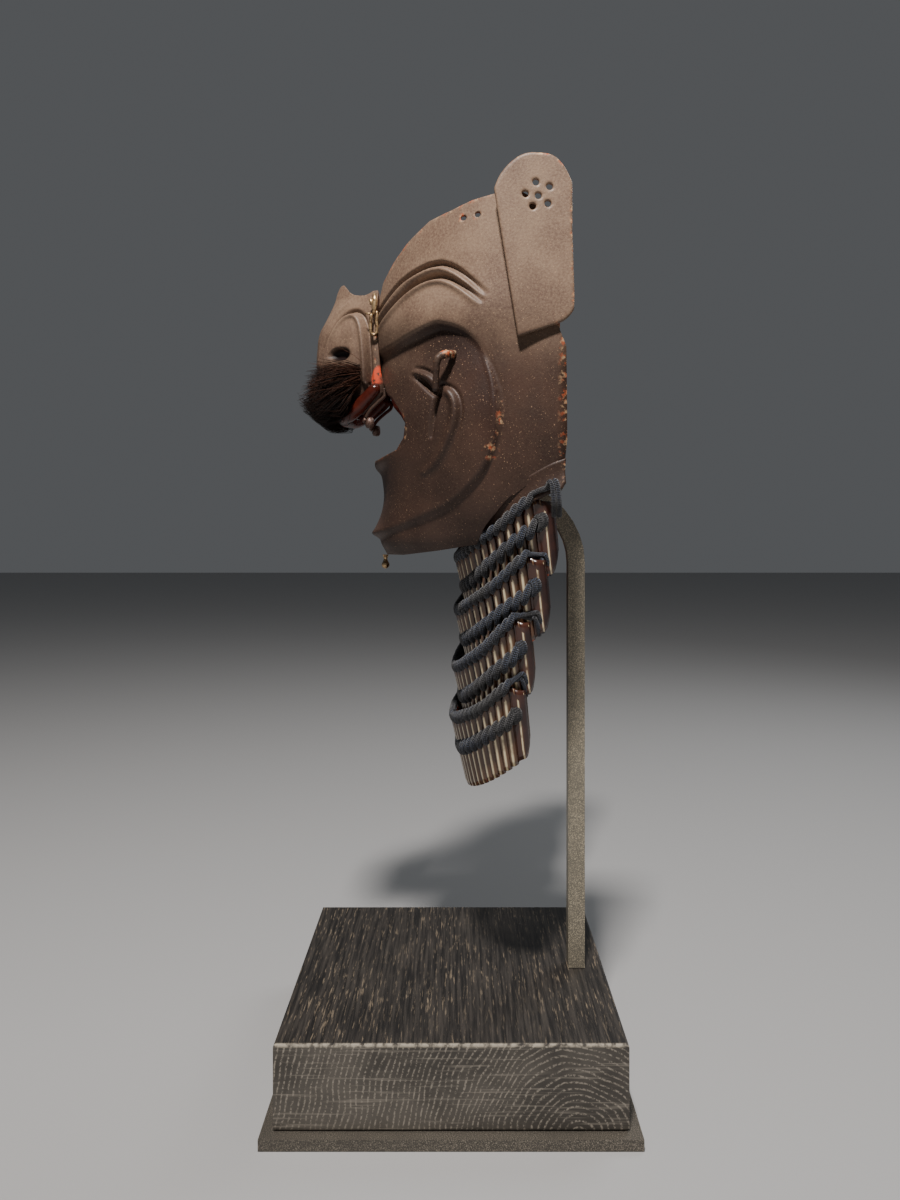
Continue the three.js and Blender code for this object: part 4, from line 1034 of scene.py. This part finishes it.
class FACEGUARD_OT_collar(bpy.types.Operator):
    """Builds the flared strip under the jaw"""

    bl_idname = "faceguard.collar"
    bl_label = "Neck Plate"

    def execute(self, context):
        s = context.scene.faceguard_collar
        upper = [(w * HALF, back(b), up(u)) for w, b, u, _, _, _ in COLLAR]
        lower = [(w * HALF, back(b), up(u)) for _, _, _, w, b, u in COLLAR]
        edges = []
        for line in (upper, lower):
            both = [(-x, y, z) for x, y, z in reversed(line[1:])] + line
            edges.append(smooth_line(both, 10))
        rows, shares = [], np.linspace(0, 1, 12)
        for t in shares:
            row = edges[0] * (1 - t) + edges[1] * t
            hollow = 0.9 * math.sin(math.pi * t)
            way = row - np.array((0, 40, 0))
            way[:, 2] = 0
            way /= np.linalg.norm(way, axis=1, keepdims=True)
            rows.append(row - way * hollow)
        points = np.array(rows)
        ends = np.abs(np.linspace(-1, 1, points.shape[1]))
        points[:, :, 2] += 3.5 * ease(ends, 0.94, 1.0) * shares[:, None]
        bm = grid_from(points)
        thicken(bm, s.thick / MM)
        strip = add_object("neck_plate_skin", bm)
        co, no = points_of(strip), normals_of(strip)
        set_floats(strip, "wear", ease(co[:, 1], 48.5, 51.5))
        way = co - np.array((0, 35, 0))
        way[:, 2] = 0
        set_floats(strip, "inner", ease(-(no * way).sum(1) / np.linalg.norm(way, axis=1), 0.3, 0.6))
        seat(strip, "lacquer", "lacquer", "neck_plate")
        return {"FINISHED"}


# Nose piece and moustache

# Sections of the nose piece: height, front, half width at the seat, exponent
NOSE_ROWS = np.array([
    (322.0, -50.0, 19.0, 2.0), (330.0, -55.0, 22.0, 1.9), (338.0, -59.0, 23.4, 1.7), (346.0, -66.5, 24.0, 1.5),
    (352.0, -70.0, 24.0, 1.42), (357.0, -70.2, 24.0, 1.38), (361.8, -69.8, 23.8, 1.36), (367.0, -69.3, 23.6, 1.34),
    (371.0, -68.2, 23.4, 1.32), (376.3, -65.4, 23.2, 1.30), (382.5, -62.3, 22.8, 1.28), (386.2, -60.7, 22.6, 1.26),
    (391.4, -59.2, 22.4, 1.24), (396.0, -57.0, 22.0, 1.24),
])
NOSE_SEAT, NOSE_LOW, NOSE_TOP = -36.6, 322.0, 396.0
NOSE_OUTLINE = [
    (-90.0, 300.0), (-90.0, 391.0), (-59.2, 391.4), (-58.5, 393.3), (-57.0, 394.4), (-55.4, 394.0), (-53.8, 391.8),
    (-51.8, 388.8), (-49.4, 386.9), (-46.6, 385.9), (-43.6, 385.4), (-41.0, 386.0), (-39.2, 387.0), (-36.6, 387.0),
    (-36.6, 362.0), (-35.0, 346.0), (-33.6, 341.0), (-33.4, 336.5), (-36.6, 333.0), (-40.5, 329.5), (-45.0, 325.0),
    (-52.0, 322.5), (-58.0, 321.0),
]
# Lines on the nose piece: the wing's rim, the fold outside it, and the nostril's middle
WING = [(-65.4, 342.0), (-64.9, 349.0), (-64.2, 357.0), (-62.3, 364.0), (-59.0, 370.0), (-54.6, 374.8),
        (-49.6, 376.6), (-46.0, 374.8), (-43.8, 370.0), (-42.6, 362.0), (-41.8, 352.0), (-41.4, 342.0)]
BRIDGE = [(-69.0, 352.0), (-68.0, 360.0), (-66.2, 367.0), (-62.6, 373.6), (-58.6, 378.4), (-54.6, 381.6),
          (-51.6, 384.0)]
NOSTRIL = (-55.6, 356.2)


def from_nostril(y, z):
    """How far places are from the nostril's middle, where one is its rim."""
    return np.sqrt(((y - NOSTRIL[0]) / 5.6) ** 2 + ((z - NOSTRIL[1]) / 3.4) ** 2)


def nose_points(columns, rows, relief=True, grow=0.0):
    """The nose piece's face as a grid of points."""
    turns = np.linspace(-math.pi / 2, math.pi / 2, columns)
    angle, z = np.meshgrid(turns, np.linspace(NOSE_LOW, NOSE_TOP, rows))
    front, half, power = (between(NOSE_ROWS, c, z) for c in (1, 2, 3))
    sine, cosine = np.sin(angle), np.cos(angle)
    x = np.sign(sine) * np.abs(sine) ** (2 / power) * (half + grow)
    y = NOSE_SEAT - np.abs(cosine) ** (2 / power) * (NOSE_SEAT - front + grow)
    points = np.stack([x, y, z], axis=2)
    if not relief:
        return points
    rows_way, across = np.gradient(points, axis=0), np.gradient(points, axis=1)
    normal = np.cross(across, rows_way)
    normal /= np.linalg.norm(normal, axis=2, keepdims=True) + 1e-9
    normal[:, :, 1] = np.minimum(normal[:, :, 1], 0.2)
    d, t, side = line_distance(y, z, smooth_line(WING, 5))
    within = ease(-side, -0.6, 2.0) * ease(z, 338, 345)
    lift = 2.2 * within * bump(d, 7.0, 8.0) + 1.9 * bump(side, -1.0, 1.3)
    lift -= 2.4 * bump(side, 1.5, 0.9) * (1 - 0.3 * ease(t, 0.0, 0.3))
    _, t, side = line_distance(y, z, smooth_line(BRIDGE, 5))
    lift += 0.9 * bump(side, 0.0, 0.8) * swell(t, 0.4)
    lift -= 3.4 * (1 - ease(from_nostril(y, z), 0.45, 1.20))
    return points + normal * lift[:, :, None]


def ball(name, centre, radii, segments):
    """A ball with its own radius along each axis."""
    bm = bmesh.new()
    place = Matrix.Translation(centre) @ Matrix.Diagonal((*radii, 1.0))
    bmesh.ops.create_uvsphere(bm, u_segments=segments, v_segments=segments * 2 // 3, radius=1.0, matrix=place)
    return add_object(name, bm)


def merge_into(obj, *others):
    """Adds the other objects' faces to an object's mesh."""
    bm = bmesh.new()
    bm.from_mesh(obj.data)
    for other in others:
        bm.from_mesh(other.data)
    bm.to_mesh(obj.data)
    bm.free()
    drop(*others)


class NoseSettings(bpy.types.PropertyGroup):
    """Mesh steps and wall of the nose piece"""

    columns: bpy.props.IntProperty(name="Columns", description="Steps round the nose piece",
                                   default=200, min=40,
                                   subtype="UNSIGNED")
    rows: bpy.props.IntProperty(name="Rows", description="Steps up the nose piece", default=130, min=30,
                                subtype="UNSIGNED")
    wall: bpy.props.FloatProperty(name="Wall", description="Thickness of the iron",
                                  default=0.002, unit="LENGTH", subtype="DISTANCE")


class FACEGUARD_OT_nose(bpy.types.Operator):
    """Builds the separate nose piece with its wings, nostrils and upper lip"""

    bl_idname = "faceguard.nose"
    bl_label = "Nose Piece"

    def execute(self, context):
        s = context.scene.faceguard_nose
        nose = solid_from("nose_piece_skin", nose_points(s.columns, s.rows), -30.0)
        cut(nose, prism("nose_outline", NOSE_OUTLINE, -60, 60), "INTERSECT")
        hollow = nose_points(60, 40, False, -s.wall / MM)
        hollow[:, :, 2] = NOSE_LOW + (hollow[:, :, 2] - NOSE_LOW) * 0.80 - 4
        cut(nose, solid_from("nose_room", hollow, -20.0))
        bm = bmesh.new()
        for side in (-1, 1):
            lip = smooth_line([(0, -56.0, 326.0), (side * 9, -54.6, 326.0), (side * 15.5, -50.6, 326.8),
                               (side * 20, -44.6, 331.5), (side * 22.5, -38.6, 337.6),
                               (side * 22.8, -36.4, 340.6)], 6)
            sizes = np.interp(np.linspace(0, 1, len(lip)), (0, 0.55, 0.85, 1), (3.6, 3.6, 3.0, 1.2))
            tube(bm, lip, list(sizes), 16)
        lip_verts = len(bm.verts)
        for side in (-1, 1):
            rim = smooth_line([(side * 23.5, -33.2, 338.5), (side * 23.4, -33.4, 334.6), (side * 22.5, -36.6, 331.6),
                               (side * 21.5, -40.4, 328.0), (side * 20.0, -42.8, 324.4)], 6)
            tube(bm, rim, 0.9, 8)
        body = len(nose.data.vertices)
        merge_into(nose, add_object("lips", bm))
        co, no = points_of(nose), normals_of(nose)
        lip = np.zeros(len(co))
        lip[body:body + lip_verts] = 1.0
        way = (co - np.array((0.0, -30.0, 0.0))) * (1, 1, 0)
        way /= np.linalg.norm(way, axis=1, keepdims=True)
        set_floats(nose, "inner", ease(-(no * way).sum(1), 0.1, 0.4) * (1 - lip))
        y, z = co[:, 1], co[:, 2]
        # Painted shade inside each nostril
        set_floats(nose, "hollow", (1 - ease(from_nostril(y, z), 0.70, 1.15)) * (np.abs(co[:, 0]) > 5))
        set_floats(nose, "lip", lip)
        seam = (1 - ease(np.abs(y + 37.4), 0.3, 1.2)) * 0.5 * ease(z, 345, 352)
        patch = np.sqrt(((y + 37.0) / 2.8) ** 2 + ((z - 345.0 - 0.6 * (y + 36.6)) / 4.6) ** 2) + 3 * lip
        set_floats(nose, "wear", seam)
        set_floats(nose, "patch", 1 - ease(patch, 0.75, 1.1))
        seat(nose, "nose", "lacquer", "nose_piece")
        return {"FINISHED"}


class HairSettings(bpy.types.PropertyGroup):
    """Number and size of the hairs"""

    count: bpy.props.IntProperty(name="Hairs", description="Hairs in the moustache", default=4600, min=100,
                                 subtype="UNSIGNED")
    thick: bpy.props.FloatProperty(name="Thickness", description="Radius of a hair",
                                   default=0.00013, unit="LENGTH", subtype="DISTANCE")


class FACEGUARD_OT_moustache(bpy.types.Operator):
    """Builds the moustache from single hairs over a dark core"""

    bl_idname = "faceguard.moustache"
    bl_label = "Moustache"

    def execute(self, context):
        s = context.scene.faceguard_moustache
        chance = random.Random(11)
        curve = bpy.data.curves.new("hairs", "CURVE")
        curve.dimensions = "3D"
        curve.bevel_depth = s.thick / MM
        curve.bevel_resolution = 0
        curve.use_fill_caps = False
        for _ in range(s.count):
            side = chance.choice((-1, 1))
            share = chance.random() ** 0.7
            level = chance.random()
            root = Vector((side * 22.4 * share, -57.0 + 17.0 * share**2 - 10.0 * share * (1 - level),
                           334.5 + 11.5 * level + 2.0 * share * level))
            pitch = math.radians(-70 + 84 * level + chance.gauss(0, 10))
            turn = math.radians(4 + 26 * share + chance.gauss(0, 9))
            reach = (17.0 + 14.0 * share**1.3) * (0.80 + 0.24 * chance.random())
            reach *= 1.0 - 0.22 * abs(level - 0.25)
            way = Vector((side * math.sin(turn) * math.cos(pitch), -math.cos(turn) * math.cos(pitch),
                          math.sin(pitch)))
            bend = Vector((-side * 0.16, -0.05, -0.22))
            bend += Vector((chance.gauss(0, 0.08), chance.gauss(0, 0.06), chance.gauss(0, 0.08)))
            spline = curve.splines.new("POLY")
            spline.points.add(4)
            front, foot = -75.4 - 1.4 * chance.random(), 321.0 + 6.5 * chance.random()
            for i, point in enumerate(spline.points):
                t = i / 4
                place = root + way * reach * t + bend * reach * t * t
                low = foot + 0.75 * max(-66.0 - place.y, 0.0)
                point.co = (place.x, max(place.y, front), max(place.z, low), 1.0)
                point.radius = 1.0 - 0.75 * t**2
        holder = bpy.data.objects.new("hairs", curve)
        context.scene.collection.objects.link(holder)
        context.view_layer.update()
        mesh = bpy.data.meshes.new_from_object(holder.evaluated_get(context.evaluated_depsgraph_get()))
        bpy.data.objects.remove(holder)
        bpy.data.curves.remove(curve)
        hair = bpy.data.objects.new("moustache_skin", mesh)
        context.scene.collection.objects.link(hair)
        strands = len(mesh.vertices)
        merge_into(hair, ball("core", (0, -56.0, 333.5), (19.0, 10.5, 7.6), 24))
        co = points_of(hair)
        tint = np.repeat(np.random.default_rng(5).random(s.count) ** 3, strands // s.count)
        brown = np.zeros(len(co))
        # Brown hairs at random, made browner towards the top as painted light
        brown[:len(tint)] = tint * (0.25 + 0.75 * ease(co[:len(tint), 2], 328, 342))
        set_floats(hair, "brown", brown)
        seat(hair, "hair", "hair", "moustache")
        return {"FINISHED"}


# Fittings


class FittingSettings(bpy.types.PropertyGroup):
    """Sizes of the pins and hooks"""

    pin: bpy.props.FloatProperty(name="Pin", description="Radius of a nose pin's rod",
                                 default=0.00085, unit="LENGTH", subtype="DISTANCE")
    hook: bpy.props.FloatProperty(name="Hook", description="Radius of the cheek hook's rod",
                                  default=0.0019, unit="LENGTH", subtype="DISTANCE")


class FACEGUARD_OT_fittings(bpy.types.Operator):
    """Builds the nose pins, cheek hooks and lip studs"""

    bl_idname = "faceguard.fittings"
    bl_label = "Fittings"

    def execute(self, context):
        s = context.scene.faceguard_fittings
        chance = random.Random(3)
        for side, name in ((1, "left"), (-1, "right")):
            x = side * 26.0
            bm = bmesh.new()
            tube(bm, [(x, -38.0, 384.6), (x, -37.8, 381.0), (x, -38.2, 377.0), (x, -37.8, 374.5)],
                 [0.9, 1.5, 1.3, 0.9], 10)
            tube(bm, [(x, -39.9, 381.8), (x, -39.4, 379.0)], [1.0, 0.6], 8)
            tube(bm, smooth_line([(x, -37.0, 376.0), (x, -36.9, 370.0), (x, -37.0, 365.6), (x, -38.3, 364.3),
                                  (x, -39.7, 365.6), (x, -39.9, 370.0), (x, -39.6, 374.6)], 6), s.pin / MM, 9)
            tube(bm, [(x - side * 0.2, -42.6, 374.9), (x, -39.0, 374.7)], 0.5, 8)
            seat(add_object("nose_pin_%s_skin" % name, bm), "gilt", "gilt", "nose_pin_" + name)
            bm = bmesh.new()
            line = smooth_line([(side * 57.5, 1.6, 348.0), (side * 62.0, 0.8, 348.2), (side * 65.6, -2.2, 347.6),
                                (side * 66.6, -5.4, 346.2), (side * 66.4, -6.6, 343.2), (side * 65.0, -6.9, 338.0),
                                (side * 62.6, -7.1, 331.4)], 5)
            radii = [s.hook / MM * (1.0 + chance.uniform(-0.10, 0.16)) * (1 - 0.25 * i / len(line))
                     for i in range(len(line))]
            tube(bm, line, radii, 12)
            hook = add_object("cheek_hook_%s_skin" % name, bm)
            co = points_of(hook)
            set_floats(hook, "wear", 0.9 * ease(co[:, 2], 343.5, 346.5))
            set_floats(hook, "panel", np.ones(len(co)) * 0.6)
            seat(hook, "lacquer", "lacquer", "cheek_hook_" + name)
            bm = bmesh.new()
            x = side * 19.2
            tube(bm, [(x, -44.2, 323.6), (x, -42.8, 322.8)], [1.2, 1.6], 12)
            tube(bm, [(x, -42.8, 322.2), (x, -42.4, 322.1), (x, -41.6, 322.0), (x, -40.2, 321.8), (x, -39.3, 321.7),
                      (x, -38.9, 321.7)], [1.6, 2.5, 2.9, 2.9, 2.5, 1.5], 20)
            seat(add_object("lip_stud_%s_skin" % name, bm), "stud", "gilt", "lip_stud_" + name)
        return {"FINISHED"}


# Stage


# Camera's place across and up, and the shifts of its picture in pixels of the photograph's height
CAMERA_ACROSS, CAMERA_UP = 0.003, 0.267
PHOTO_HEIGHT, SHIFT_X, SHIFT_Y = 1200, -8, -67


class StageSettings(bpy.types.PropertyGroup):
    """Camera settings"""

    lens: bpy.props.FloatProperty(name="Lens", description="Camera lens", default=28.95, unit="CAMERA")
    distance: bpy.props.FloatProperty(name="Distance", description="Camera to the mask's middle", default=0.5,
                                      unit="LENGTH", subtype="DISTANCE")


class FACEGUARD_OT_stage(bpy.types.Operator):
    """Sets up the pale floor, the soft studio light and the camera"""

    bl_idname = "faceguard.stage"
    bl_label = "Stage"

    def execute(self, context):
        s = context.scene.faceguard_stage
        scene = context.scene
        data = bpy.data.cameras.new("camera")
        data.lens = s.lens
        data.sensor_width = 36.0
        data.shift_x = SHIFT_X / PHOTO_HEIGHT
        data.shift_y = SHIFT_Y / PHOTO_HEIGHT
        data.clip_start = 0.01
        camera = bpy.data.objects.new("camera", data)
        camera.location = (s.distance, CAMERA_ACROSS, CAMERA_UP)
        camera.rotation_euler = (math.pi / 2, 0, math.pi / 2)
        scene.collection.objects.link(camera)
        scene.camera = camera
        bm = bmesh.new()
        bmesh.ops.create_grid(bm, x_segments=1, y_segments=1, size=6.0)
        floor = add_object("floor", bm)
        floor.location.z = -0.0002
        pale = Shader("pale_floor")
        floor.data.materials.append(pale.set(Base_Color=(0.40, 0.40, 0.40, 1), Roughness=0.9))
        world = bpy.data.worlds.new("studio")
        world.use_nodes = True
        world.node_tree.nodes["Background"].inputs[0].default_value = (0.75, 0.78, 0.82, 1)
        world.node_tree.nodes["Background"].inputs[1].default_value = 0.12
        scene.world = world
        lights = (
            ("key", (0.66, -0.10, 1.24), (0.0, 0.0, 0.28), 0.11, 26.0, (1.0, 0.95, 0.91)),
            ("rear", (-0.60, 0.75, 1.00), (0.0, 0.0, 0.30), 0.60, 4.0, (0.94, 0.97, 1.0)),
        )
        for name, place, aim, size, power, colour in lights:
            light = bpy.data.lights.new(name, "AREA")
            light.shape = "SQUARE"
            light.size = size
            light.energy = power
            light.color = colour
            obj = bpy.data.objects.new(name, light)
            obj.location = place
            obj.rotation_euler = (Vector(aim) - Vector(place)).to_track_quat("-Z", "Y").to_euler()
            scene.collection.objects.link(obj)
        return {"FINISHED"}


# Stand


class FACEGUARD_OT_stand(bpy.types.Operator):
    """Gives the stand's plate, block and bar and the chin knob their materials"""

    bl_idname = "faceguard.stand"
    bl_label = "Stand"

    def execute(self, context):
        kept = {"base_plate": "plate", "base_block": "oak", "stand_bar": "steel", "chin_knob": "gilt"}
        for node, material in kept.items():
            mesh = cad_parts[node].data
            mesh.materials.clear()
            mesh.materials.append(look(material))
        return {"FINISHED"}


class FACEGUARD_PT_panel(bpy.types.Panel):
    """Face guard pieces"""

    bl_label = "Face Guard"
    bl_idname = "FACEGUARD_PT_panel"
    bl_space_type = "VIEW_3D"
    bl_region_type = "UI"
    bl_category = "Face Guard"

    def draw(self, context):
        for name in ("finish", *OPERATORS):
            box = self.layout.box()
            if name in OPERATORS:
                box.operator("faceguard." + name)
            if name in SETTINGS:
                settings = getattr(context.scene, "faceguard_" + name)
                for key in SETTINGS[name].__annotations__:
                    box.prop(settings, key)


OPERATORS = ("stand", "face", "ears", "nose", "moustache", "collar", "fittings", "lames", "lacing", "stage")
SETTINGS = {
    "finish": FinishSettings, "face": FaceSettings, "ears": EarSettings, "nose": NoseSettings,
    "moustache": HairSettings, "collar": CollarSettings, "fittings": FittingSettings, "lames": LameSettings,
    "lacing": LacingSettings, "stage": StageSettings,
}
CLASSES = (
    *SETTINGS.values(), FACEGUARD_OT_stand, FACEGUARD_OT_face, FACEGUARD_OT_ears, FACEGUARD_OT_nose,
    FACEGUARD_OT_moustache, FACEGUARD_OT_collar, FACEGUARD_OT_fittings, FACEGUARD_OT_lames,
    FACEGUARD_OT_lacing, FACEGUARD_OT_stage, FACEGUARD_PT_panel,
)


def register():
    for cls in CLASSES:
        bpy.utils.register_class(cls)
    for name, cls in SETTINGS.items():
        setattr(bpy.types.Scene, "faceguard_" + name, bpy.props.PointerProperty(type=cls))


def unregister():
    for name in SETTINGS:
        delattr(bpy.types.Scene, "faceguard_" + name)
    for cls in reversed(CLASSES):
        bpy.utils.unregister_class(cls)


def main():
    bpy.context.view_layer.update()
    register()
    for name in OPERATORS:
        result = getattr(bpy.ops.faceguard, name)()
        if result != {"FINISHED"}:
            raise RuntimeError(name + " did not finish")


if __name__ == "__main__":
    main()
